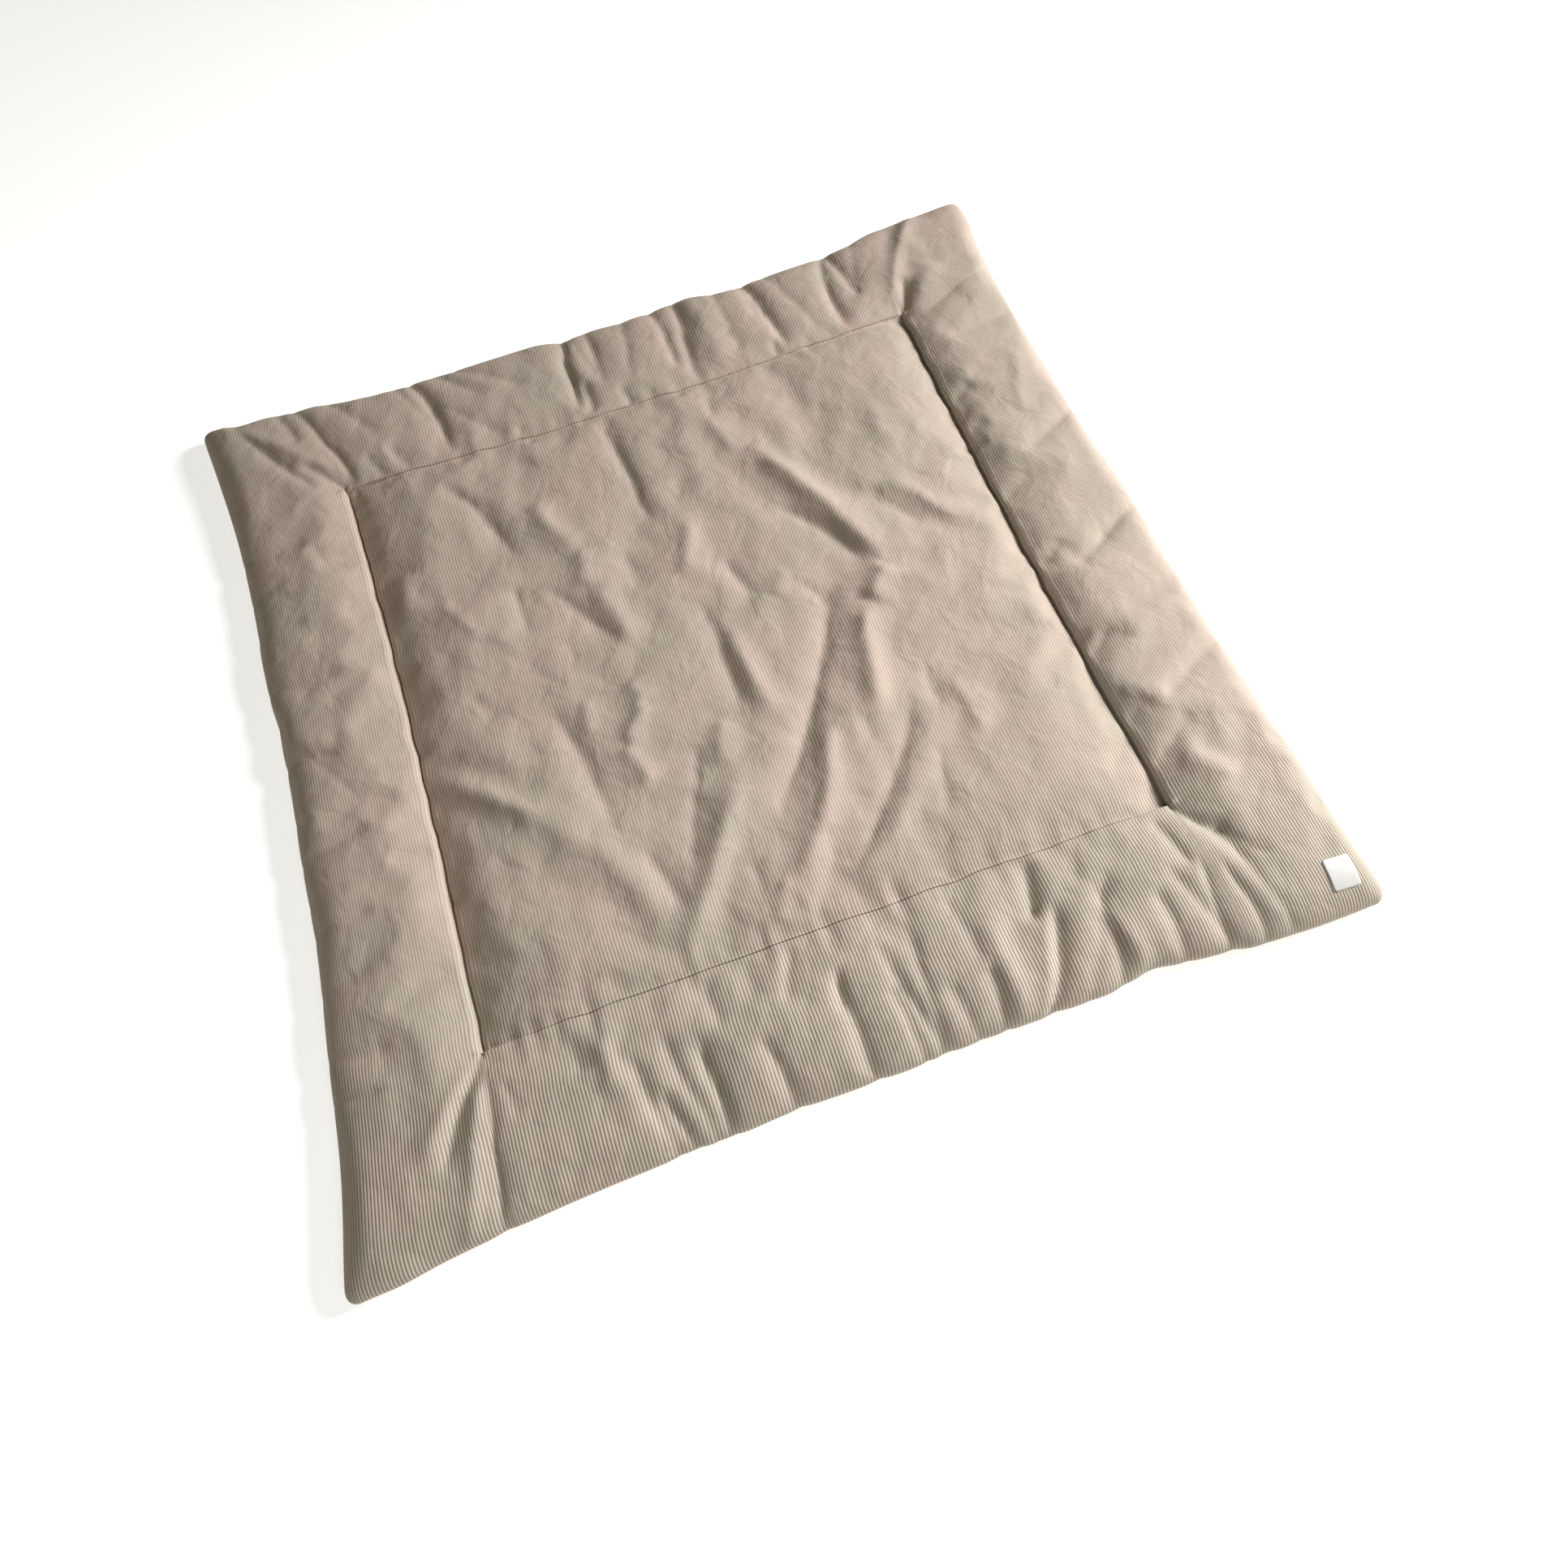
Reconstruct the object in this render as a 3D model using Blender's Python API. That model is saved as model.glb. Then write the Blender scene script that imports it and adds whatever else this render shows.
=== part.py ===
"""Baby play mat: a square padded corduroy mat, quilted once by a stitched inner square.

The mat lies flat on a surface, with +Y away from the viewer and +Z up. Its filling lifts a
puffy border between the turned edge and the stitched square, and a lower panel inside the
square. The sides draw in between the corners, and folds run over the panel and the border.
"""

from typing import NamedTuple

import bmesh
import bpy
import numpy as np
from mathutils import Vector, noise
from mathutils.bvhtree import BVHTree

# Driving dimensions, in metres; the fold tables are drawn on a plan in plan units
MM = 0.001
PLAN_UNIT = 0.000985
MAT_HALF = 0.500
SEAM_HALF = 0.345
CORNER_RADIUS = 0.014
EDGE_SEAM_HEIGHT = 0.010
CHANNEL_HEIGHT = 0.011
BORDER_LOFT = 0.025
PANEL_LOFT = 0.016
EDGE_ROLL = 0.070
BORDER_CHANNEL_ROLL = 0.060
PANEL_CHANNEL_ROLL = 0.055
ROLL_SHARPNESS = 2.2
ROLL_FULLNESS = 0.6
LUMP_HEIGHT = 0.0014
LUMP_SIZE = 0.120

# Underside: the turned edge rolls under, then the cloth lies flat but for the sewn channel
UNDER_ROLL_INSET = 0.005
UNDER_ROLL_HEIGHT = 0.0035
UNDER_FLAT_INSET = 0.015
UNDER_CHANNEL_HALF = 0.013
UNDER_CHANNEL_DEPTH = 0.0035

# Folds fade out over these distances from the stitching and from the outer edge
SEAM_FADE = 0.016
EDGE_FADE = 0.020
EDGE_FOLD_SHARE = 0.30
EDGE_NICK_SHARE = 0.45

# Corner label
LABEL_WIDTH = 0.028
LABEL_LENGTH = 0.031
LABEL_THICKNESS = 0.0008
LABEL_CORNER_RADIUS = 0.003
LABEL_CENTRE = (0.4662, -0.4652)
LABEL_TURN_DEGREES = -3.5
LABEL_GAP = 0.0006
LABEL_COLUMNS = 14
LABEL_ROWS = 16

# Finishes: colour is linear RGB
CORDUROY_COLOUR = (0.44, 0.36, 0.29)
CORDUROY_ROUGHNESS = 0.92
LABEL_COLOUR = (0.80, 0.80, 0.77)
LABEL_ROUGHNESS = 0.70

# Distances of the mesh's lines in from the turned edge, and out from the middle of the seam
BORDER_LINES = (0.0, 0.005, 0.014, 0.030, 0.052, 0.078, 0.105, 0.130, 0.146, 0.155)
PANEL_EDGE_LINES = (0.0, 0.008, 0.020)
PANEL_COLUMNS = 62
PANEL_ROWS = 28


class Side(NamedTuple):
    """How far each side draws in from the square, in mm, at a place along it."""

    along: int
    left: float
    right: float
    far: float
    near: float


DRAWN_IN = (
    Side(-500, -3, -5, -5, 6),
    Side(-400, 13, 1, 5, 14),
    Side(-300, 20, 4, 18, 20),
    Side(-200, 27, 8, 20, 22),
    Side(-100, 28, 11, 18, 23),
    Side(0, 30, 10, 22, 20),
    Side(100, 26, 16, 19, 20),
    Side(200, 26, 17, 21, 17),
    Side(300, 23, 17, 14, 16),
    Side(400, 14, 13, -1, 6),
    Side(500, 3, 5, -7, 4),
)


class Dent(NamedTuple):
    """A place where a gather pulls a side in (depth above 0) or lets it out, in mm."""

    side: str
    along: float
    half_width: float
    depth: float


DENTS = (
    Dent("far", -450, 24, 3),
    Dent("far", -350, 26, -3),
    Dent("far", -50, 26, 4),
    Dent("far", 150, 26, 4),
    Dent("far", 350, 26, -4),
    Dent("near", -450, 26, -2),
    Dent("near", -150, 26, -2),
    Dent("near", 254, 24, 7),
    Dent("near", 350, 26, -2),
    Dent("left", 55, 26, 2),
    Dent("left", 150, 26, -1),
    Dent("right", -350, 26, -2),
    Dent("right", 450, 26, -3),
)


class SeamSide(NamedTuple):
    """Where one line of the stitched square lies, in mm, at its ends and its middle."""

    end_low: float
    middle: float
    end_high: float


SEAM_LEFT = SeamSide(-341, -337, -344)
SEAM_RIGHT = SeamSide(354, 349, 354)
SEAM_FAR = SeamSide(348, 347, 348)
SEAM_NEAR = SeamSide(-325, -326, -330)


class Fold(NamedTuple):
    """A soft ridge (rise above 0) or trough (below 0) along a bowed line, in plan units.

    The line runs from (x0, y0) to (x1, y1). Its middle is moved sideways by bow, to the
    left as one goes from the first end to the second. half_width is where the fold has
    fallen to about a third of its rise.
    """

    x0: float
    y0: float
    x1: float
    y1: float
    bow: float
    half_width: float
    rise: float


# Folds of the panel inside the stitched square
PANEL_FOLDS = (
    Fold(-245, 315, -184, 172, 9, 11, -5.0),
    Fold(-196, 145, -190, 70, 0, 11, -3.5),
    Fold(-140, 250, -108, 158, -13, 13, 4.5),
    Fold(-108, 162, -124, 108, 2, 12, 4.0),
    Fold(-300, 210, -312, 132, -4, 18, 4.0),
    Fold(-281, 156, -240, 80, 4, 9, 2.5),
    Fold(-163, 130, -100, 25, 0, 12, -4.0),
    Fold(-112, 112, -86, 15, 0, 12, 3.0),
    Fold(-69, 140, -65, 85, 0, 13, -3.0),
    Fold(-43, 330, -25, 155, 2, 10, -4.5),
    Fold(-272, 34, -248, -14, 0, 10, -2.5),
    Fold(106, 226, 204, 8, 8, 14, 7.0),
    Fold(204, 16, 165, -22, 0, 14, 6.0),
    Fold(166, -16, 127, -160, -8, 14, 6.5),
    Fold(102, 140, 183, 24, 10, 11, -4.5),
    Fold(14, 154, -13, 82, 2, 11, 3.0),
    Fold(34, 95, 58, 26, -4, 10, -3.0),
    Fold(92, 54, 72, 22, 0, 9, 2.0),
    Fold(99, 38, 125, -5, 0, 9, -2.5),
    Fold(239, 129, 305, 34, 0, 10, 3.0),
    Fold(218, 125, 264, 46, -3, 11, -3.0),
    Fold(77, 279, 98, 220, 0, 9, 2.0),
    Fold(90, 320, 88, 278, 0, 8, -2.5),
    Fold(164, 204, 174, 167, 0, 10, -2.0),
    Fold(259, 252, 269, 138, 0, 18, 2.0),
    Fold(16, 215, 18, 185, 0, 12, -2.0),
    Fold(-328, -52, -225, -147, 4, 13, 4.5),
    Fold(-110, -18, -97, -50, 0, 11, 3.5),
    Fold(-97, -46, -133, -90, 0, 11, 4.5),
    Fold(-133, -86, -115, -138, -2, 11, 4.5),
    Fold(-198, -4, -166, -185, 4, 14, -4.5),
    Fold(-155, -20, -166, -66, 0, 9, 2.5),
    Fold(-151, -196, -128, -280, 2, 10, -4.0),
    Fold(-26, -148, -138, -317, 5, 15, 6.0),
    Fold(-77, -156, -110, -240, 0, 12, -3.0),
    Fold(-30, -90, -44, -150, 0, 12, 3.5),
    Fold(-62, -110, -78, -160, 0, 11, -3.0),
    Fold(-47, -246, -52, -294, 0, 9, -2.5),
    Fold(-22, -277, -48, -323, 0, 9, 2.5),
    Fold(-228, -147, -148, -284, 10, 14, 2.5),
    Fold(-311, -135, -299, -265, 0, 22, 2.5),
    Fold(132, 15, -15, -227, 8, 13, -5.0),
    Fold(8, 10, 25, -120, 0, 12, 4.0),
    Fold(-6, 52, -2, -104, 0, 11, -3.5),
    Fold(72, -125, -16, -288, 19, 14, 5.0),
    Fold(167, -140, 41, -299, 8, 10, -3.5),
    Fold(133, -220, 30, -305, 17, 11, 2.5),
    Fold(170, -201, 149, -282, 0, 10, -2.5),
    Fold(210, -128, 224, -214, -3, 11, 3.0),
    Fold(193, -110, 193, -167, -5, 11, -3.0),
    Fold(336, -123, 278, -165, 0, 13, 2.0),
    Fold(30, -246, 28, -288, 0, 10, -2.0),
)

# Gathers across the far side of the border
FAR_FOLDS = (
    Fold(-438, 457, -372, 352, -5, 9, -4.5),
    Fold(-404, 486, -388, 428, 0, 9, -4.0),
    Fold(-397, 402, -343, 343, 3, 9, -5.0),
    Fold(-440, 462, -350, 362, 4, 9, 3.0),
    Fold(-372, 450, -330, 343, 4, 9, -4.5),
    Fold(-333, 470, -290, 405, 0, 12, -2.5),
    Fold(-318, 392, -291, 336, 0, 9, -3.0),
    Fold(-290, 394, -264, 338, 0, 9, -3.0),
    Fold(-247, 466, -218, 348, 11, 10, -6.5),
    Fold(-197, 460, -155, 412, 0, 9, -2.5),
    Fold(-207, 418, -143, 348, -3, 9, -3.0),
    Fold(-54, 462, -57, 348, -1, 9, -7.5),
    Fold(-21, 466, -19, 370, 0, 9, -3.5),
    Fold(21, 438, 14, 370, 0, 9, -3.0),
    Fold(64, 468, 72, 366, 3, 10, -6.5),
    Fold(92, 456, 86, 336, 2, 9, -4.5),
    Fold(116, 464, 118, 436, 0, 16, 3.0),
    Fold(140, 410, 152, 366, 0, 12, -2.0),
    Fold(190, 464, 208, 350, 1, 10, -7.0),
    Fold(222, 468, 231, 436, 0, 10, -2.5),
    Fold(294, 462, 283, 346, -5, 11, -7.0),
    Fold(304, 484, 309, 450, 0, 9, -5.0),
    Fold(330, 452, 318, 400, 0, 10, -2.0),
    Fold(402, 458, 350, 364, -4, 10, 4.5),
    Fold(379, 406, 351, 330, 3, 10, -7.0),
)

# Gathers across the near side of the border
NEAR_FOLDS = (
    Fold(-352, -340, -445, -442, 0, 13, 5.5),
    Fold(-350, -345, -402, -432, -3, 9, -6.0),
    Fold(-344, -345, -357, -448, 3, 10, -4.5),
    Fold(-262, -353, -262, -392, 0, 12, -3.0),
    Fold(-238, -360, -235, -418, 0, 12, 4.0),
    Fold(-216, -383, -206, -449, 0, 9, -4.5),
    Fold(-197, -426, -183, -488, 0, 9, -6.5),
    Fold(-186, -372, -170, -450, 0, 9, -5.0),
    Fold(-152, -390, -148, -476, 0, 9, -7.5),
    Fold(-132, -340, -129, -398, 0, 10, -3.5),
    Fold(-98, -410, -84, -480, 0, 9, -5.5),
    Fold(-88, -343, -90, -386, 0, 9, -2.5),
    Fold(-45, -341, -66, -400, 0, 9, -3.5),
    Fold(-10, -376, -7, -484, -4, 9, -6.5),
    Fold(30, -362, 52, -458, 0, 9, -4.5),
    Fold(68, -356, 63, -450, 0, 9, -4.0),
    Fold(110, -350, 118, -430, 4, 10, -3.5),
    Fold(82, -424, 95, -486, 0, 9, -4.0),
    Fold(137, -448, 138, -480, 0, 13, 4.0),
    Fold(199, -343, 181, -412, 0, 11, -7.5),
    Fold(205, -393, 160, -492, 9, 11, -9.0),
    Fold(272, -376, 228, -450, 0, 10, -2.5),
    Fold(246, -450, 240, -490, 0, 10, -6.0),
    Fold(299, -413, 306, -480, 1, 10, -5.5),
    Fold(320, -400, 336, -444, 0, 9, -4.0),
    Fold(333, -350, 346, -414, 0, 9, -5.0),
    Fold(352, -343, 397, -394, 0, 10, -4.0),
)

# Gathers across the left and the right side of the border
SIDE_FOLDS = (
    Fold(-484, 291, -425, 284, 0, 12, -4.5),
    Fold(-484, 189, -440, 184, 0, 12, -3.5),
    Fold(-484, 118, -430, 114, 0, 13, -4.0),
    Fold(-482, 22, -426, 17, 0, 12, -7.0),
    Fold(-474, 50, -422, 26, 0, 12, 3.5),
    Fold(-480, -40, -430, -62, 0, 14, -2.5),
    Fold(-482, -97, -424, -82, 0, 13, -4.0),
    Fold(-484, -170, -436, -166, 0, 12, -4.0),
    Fold(-488, -232, -445, -230, 0, 12, -3.0),
    Fold(-492, -290, -440, -298, 0, 12, -4.0),
    Fold(-494, -335, -448, -336, 0, 12, -3.0),
    Fold(358, 194, 390, 216, 0, 11, -3.0),
    Fold(402, 95, 474, 134, 0, 13, -3.5),
    Fold(352, 44, 402, 74, 0, 12, -2.0),
    Fold(424, -44, 484, -12, 0, 12, -3.5),
    Fold(355, -52, 394, -24, 0, 11, -3.0),
    Fold(355, -170, 394, -148, 0, 11, -3.5),
    Fold(398, -242, 486, -198, 0, 14, -3.5),
    Fold(355, -254, 394, -234, 0, 11, -3.0),
    Fold(358, -308, 428, -260, 0, 12, -3.5),
    Fold(398, -162, 474, -136, 0, 15, 3.5),
    Fold(366, -212, 414, -238, 0, 15, 3.0),
    Fold(385, -302, 468, -384, 10, 13, 6.5),
    Fold(358, 343, 428, 412, 0, 16, 4.0),
    Fold(365, 331, 452, 369, 0, 12, -3.0),
    Fold(425, 350, 480, 390, 0, 13, 2.5),
    Fold(395, 288, 470, 304, 0, 12, -2.5),
)

FOLDS = PANEL_FOLDS + FAR_FOLDS + NEAR_FOLDS + SIDE_FOLDS
FOLD_LINE_STEPS = 10
FOLD_END_TAPER = 0.22


def clear_scene():
    """Remove whatever objects the file holds."""
    for item in list(bpy.data.objects):
        bpy.data.objects.remove(item, do_unlink=True)


def make_material(name, colour, roughness):
    """A cloth finish: one colour, no metal."""
    material = bpy.data.materials.new(name)
    material.use_nodes = True
    shader = material.node_tree.nodes["Principled BSDF"]
    shader.inputs["Base Color"].default_value = (*colour, 1.0)
    shader.inputs["Roughness"].default_value = roughness
    shader.inputs["Metallic"].default_value = 0.0
    return material


def drawn_in(side, along):
    """Smoothly read how far a side draws in, in metres, at places along the flat side."""
    stations = np.array([getattr(row, side) for row in DRAWN_IN]) * MM
    first = DRAWN_IN[0].along * MM
    step = (DRAWN_IN[1].along - DRAWN_IN[0].along) * MM
    place = np.clip((along - first) / step, 0.0, len(stations) - 1.0)
    left = np.minimum(place.astype(int), len(stations) - 2)
    part = place - left
    slopes = np.gradient(stations)
    blend = part * part * (3.0 - 2.0 * part)
    inset = stations[left] * (1.0 - blend) + stations[left + 1] * blend
    inset += slopes[left] * part * (1.0 - part) ** 2
    inset -= slopes[left + 1] * part * part * (1.0 - part)
    for dent in DENTS:
        if dent.side == side:
            reach = (along - dent.along * MM) / (dent.half_width * MM)
            inset += dent.depth * MM * np.exp(-(reach**2))
    return inset


def seam_line(side, along):
    """Place of one line of the stitched square, in metres, at places along it."""
    reach = along / SEAM_HALF
    bend = (side.end_low + side.end_high) / 2.0 - side.middle
    slant = (side.end_high - side.end_low) / 2.0
    return (side.middle + slant * reach + bend * reach * reach) * MM


def round_corner(flat_x, flat_y):
    """Pull the flat square's corners in to a small radius."""
    inner = MAT_HALF - CORNER_RADIUS
    part_x = np.clip((np.abs(flat_x) - inner) / CORNER_RADIUS, 0.0, 1.0)
    part_y = np.clip((np.abs(flat_y) - inner) / CORNER_RADIUS, 0.0, 1.0)
    in_x = CORNER_RADIUS * part_x * (1.0 - np.sqrt(1.0 - part_y * part_y / 2.0))
    in_y = CORNER_RADIUS * part_y * (1.0 - np.sqrt(1.0 - part_x * part_x / 2.0))
    return flat_x - np.sign(flat_x) * in_x, flat_y - np.sign(flat_y) * in_y


def lay_out(flat_x, flat_y):
    """Move points of the flat cloth to where the filled mat lies."""
    knots = (-MAT_HALF, -SEAM_HALF, SEAM_HALF, MAT_HALF)
    left = -MAT_HALF + drawn_in("left", flat_y)
    right = MAT_HALF - drawn_in("right", flat_y)
    far = MAT_HALF - drawn_in("far", flat_x)
    near = -MAT_HALF + drawn_in("near", flat_x)
    seam_left = seam_line(SEAM_LEFT, flat_y)
    seam_right = seam_line(SEAM_RIGHT, flat_y)
    seam_near = seam_line(SEAM_NEAR, flat_x)
    seam_far = seam_line(SEAM_FAR, flat_x)
    across = between(flat_x, knots, (left, seam_left, seam_right, right))
    up = between(flat_y, knots, (near, seam_near, seam_far, far))
    return across, up


def between(value, knots, places):
    """Straight interpolation of places over knots, where each place is an array of its own."""
    result = places[0].copy()
    for index in range(len(knots) - 1):
        part = np.clip((value - knots[index]) / (knots[index + 1] - knots[index]), 0.0, 1.0)
        result = result + (places[index + 1] - places[index]) * part
    return result


def roll(distance, reach):
    """Rounded rise of filled cloth away from a seam: upright at the seam, level at its reach."""
    part = 1.0 - np.clip(distance / reach, 0.0, 1.0)
    return (1.0 - part**ROLL_SHARPNESS) ** ROLL_FULLNESS


def fade(distance, reach):
    """Smooth step from 0 at a seam to 1 at its reach."""
    part = np.clip(distance / reach, 0.0, 1.0)
    return part * part * (3.0 - 2.0 * part)


def fold_height(fold, x, y):
    """Height of one fold over the points (x, y)."""
    start = np.array((fold.x0, fold.y0)) * PLAN_UNIT
    end = np.array((fold.x1, fold.y1)) * PLAN_UNIT
    along = end - start
    length = np.hypot(*along)
    sideways = np.array((-along[1], along[0])) / length * fold.bow * PLAN_UNIT
    nearest = np.full(x.shape, np.inf)
    place = np.zeros(x.shape)
    for step in range(FOLD_LINE_STEPS):
        ends = []
        for share in (step / FOLD_LINE_STEPS, (step + 1) / FOLD_LINE_STEPS):
            ends.append(start + along * share + sideways * 4.0 * share * (1.0 - share))
        piece = ends[1] - ends[0]
        offset_x = x - ends[0][0]
        offset_y = y - ends[0][1]
        share = np.clip((offset_x * piece[0] + offset_y * piece[1]) / piece.dot(piece), 0.0, 1.0)
        gap = np.hypot(offset_x - piece[0] * share, offset_y - piece[1] * share)
        closer = gap < nearest
        nearest = np.where(closer, gap, nearest)
        place = np.where(closer, (step + share) / FOLD_LINE_STEPS, place)
    taper = fade(place, FOLD_END_TAPER) * fade(1.0 - place, FOLD_END_TAPER)
    return fold.rise * PLAN_UNIT * taper * np.exp(-((nearest / (fold.half_width * PLAN_UNIT)) ** 2))


def all_folds(x, y):
    """Height of every fold together over the points (x, y)."""
    total = np.zeros(x.shape)
    for fold in FOLDS:
        total += fold_height(fold, x, y)
    return total


def lumps(x, y):
    """Gentle unevenness of the filling."""
    places = zip(x.ravel() / LUMP_SIZE, y.ravel() / LUMP_SIZE)
    heights = [noise.noise(Vector((across, up, 0.0))) for across, up in places]
    return LUMP_HEIGHT * np.array(heights).reshape(x.shape)


def top_surface(flat_x, flat_y):
    """World points of the mat's upper cloth over the flat cloth's points."""
    round_x, round_y = round_corner(flat_x, flat_y)
    x, y = lay_out(round_x, round_y)
    to_side = MAT_HALF - np.abs(flat_x)
    to_end = MAT_HALF - np.abs(flat_y)
    to_edge = np.minimum(to_side, to_end)
    out_x = np.abs(flat_x) - SEAM_HALF
    out_y = np.abs(flat_y) - SEAM_HALF
    outside = np.hypot(np.maximum(out_x, 0.0), np.maximum(out_y, 0.0))
    inside = np.maximum(-np.maximum(out_x, out_y), 0.0)
    in_panel = (out_x <= 0.0) & (out_y <= 0.0)

    folds = all_folds(x, y)
    folds = folds * fade(outside + inside, SEAM_FADE)
    folds = folds * (EDGE_FOLD_SHARE + (1.0 - EDGE_FOLD_SHARE) * fade(to_edge, EDGE_FADE))

    border = roll(to_side, EDGE_ROLL) * roll(to_end, EDGE_ROLL) * roll(outside, BORDER_CHANNEL_ROLL)
    rest = EDGE_SEAM_HEIGHT + (CHANNEL_HEIGHT - EDGE_SEAM_HEIGHT) * fade(to_edge, MAT_HALF - SEAM_HALF)
    border_height = rest + BORDER_LOFT * border
    panel_height = CHANNEL_HEIGHT + PANEL_LOFT * roll(inside, PANEL_CHANNEL_ROLL)
    height = np.where(in_panel, panel_height, border_height)
    soft = np.where(in_panel, roll(inside, PANEL_CHANNEL_ROLL), border)
    height = height + folds * np.sqrt(soft) + lumps(x, y) * soft
    height = np.maximum(height, EDGE_SEAM_HEIGHT)

    nick = np.maximum(-all_folds(x, y), 0.0) * EDGE_NICK_SHARE * (1.0 - fade(to_edge, EDGE_FADE))
    x = x - np.sign(flat_x) * np.where(to_side < to_end, nick, 0.0)
    y = y - np.sign(flat_y) * np.where(to_side < to_end, 0.0, nick)
    return x, y, height


def grid_lines(panel_count):
    """Places of the mesh's lines across the flat cloth, finer at the edge and the seam."""
    border = [MAT_HALF - inset for inset in BORDER_LINES[:-1]]
    seam = [SEAM_HALF - inset for inset in PANEL_EDGE_LINES]
    inner_half = SEAM_HALF - PANEL_EDGE_LINES[-1]
    middle = [inner_half * (2.0 * index / panel_count - 1.0) for index in range(1, panel_count)]
    low = [-place for place in border + seam]
    return np.array(low + middle + (border + seam)[::-1])


def edge_loop(columns, rows):
    """Row and column of each vertex round the mesh's rim, anticlockwise from above."""
    loop = [(0, column) for column in range(columns)]
    loop += [(row, columns - 1) for row in range(1, rows)]
    loop += [(rows - 1, column) for column in range(columns - 2, -1, -1)]
    loop += [(row, 0) for row in range(rows - 2, 0, -1)]
    return loop


def add_top(mesh, points):
    """Upper cloth: each cell is split along its flatter diagonal, so that ridges stay whole."""
    rows, columns = points[0].shape
    verts = []
    for row in range(rows):
        verts.append([mesh.verts.new([axis[row, column] for axis in points]) for column in range(columns)])
    for row in range(rows - 1):
        for column in range(columns - 1):
            corner = (
                verts[row][column],
                verts[row][column + 1],
                verts[row + 1][column + 1],
                verts[row + 1][column],
            )
            rising = abs(corner[0].co.z - corner[2].co.z)
            falling = abs(corner[1].co.z - corner[3].co.z)
            first = 0 if rising <= falling else 1
            mesh.faces.new([corner[first], corner[first + 1], corner[first + 2]])
            mesh.faces.new([corner[(first + 2) % 4], corner[(first + 3) % 4], corner[first]])
    return verts


def add_underside(mesh, rim_verts, rim_x, rim_y):
    """Underside: rings under the rim, stepping in to the flat face, the sewn channel and the panel."""
    rings = (
        (MAT_HALF - UNDER_ROLL_INSET, UNDER_ROLL_HEIGHT),
        (MAT_HALF - UNDER_FLAT_INSET, 0.0),
        (SEAM_HALF + UNDER_CHANNEL_HALF, 0.0),
        (SEAM_HALF, UNDER_CHANNEL_DEPTH),
        (SEAM_HALF - UNDER_CHANNEL_HALF, 0.0),
    )
    previous = rim_verts
    for half, height in rings:
        share = half / MAT_HALF
        x, y = lay_out(*round_corner(rim_x * share, rim_y * share))
        ring = [mesh.verts.new((px, py, height)) for px, py in zip(x, y)]
        for index, vert in enumerate(ring):
            after = (index + 1) % len(ring)
            mesh.faces.new((previous[after], previous[index], vert, ring[after]))
        previous = ring
    mesh.faces.new(previous[::-1])


def finish_object(name, mesh, material):
    """Turn a bmesh into a named object with its finish, smooth shaded."""
    bmesh.ops.recalc_face_normals(mesh, faces=mesh.faces)
    data = bpy.data.meshes.new(name)
    mesh.to_mesh(data)
    mesh.free()
    data.materials.append(material)
    data.shade_smooth()
    item = bpy.data.objects.new(name, data)
    bpy.context.scene.collection.objects.link(item)
    return item


def build_mat(material):
    """The filled mat, one closed solid whose box stands on the origin."""
    columns = grid_lines(PANEL_COLUMNS)
    rows = grid_lines(PANEL_ROWS)
    flat_x, flat_y = np.meshgrid(columns, rows)
    points = top_surface(flat_x, flat_y)
    mesh = bmesh.new()
    verts = add_top(mesh, points)
    loop = edge_loop(len(columns), len(rows))
    rim_x = np.array([flat_x[place] for place in loop])
    rim_y = np.array([flat_y[place] for place in loop])
    add_underside(mesh, [verts[row][column] for row, column in loop], rim_x, rim_y)
    centre_x = (points[0].min() + points[0].max()) / 2.0
    centre_y = (points[1].min() + points[1].max()) / 2.0
    bmesh.ops.translate(mesh, verts=mesh.verts, vec=(-centre_x, -centre_y, 0.0))
    return finish_object("mat", mesh, material)


def label_outline_point(across, along):
    """Point of the label, from -1 to 1 each way, with its corners rounded."""
    half = np.array((LABEL_WIDTH, LABEL_LENGTH)) / 2.0
    point = np.array((across, along)) * half
    inner = half - LABEL_CORNER_RADIUS
    beyond = np.maximum(np.abs(point) - inner, 0.0)
    parts = beyond / LABEL_CORNER_RADIUS
    beyond = beyond * np.sqrt(1.0 - parts[::-1] ** 2 / 2.0)
    return np.sign(point) * (np.minimum(np.abs(point), inner) + beyond)


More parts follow.
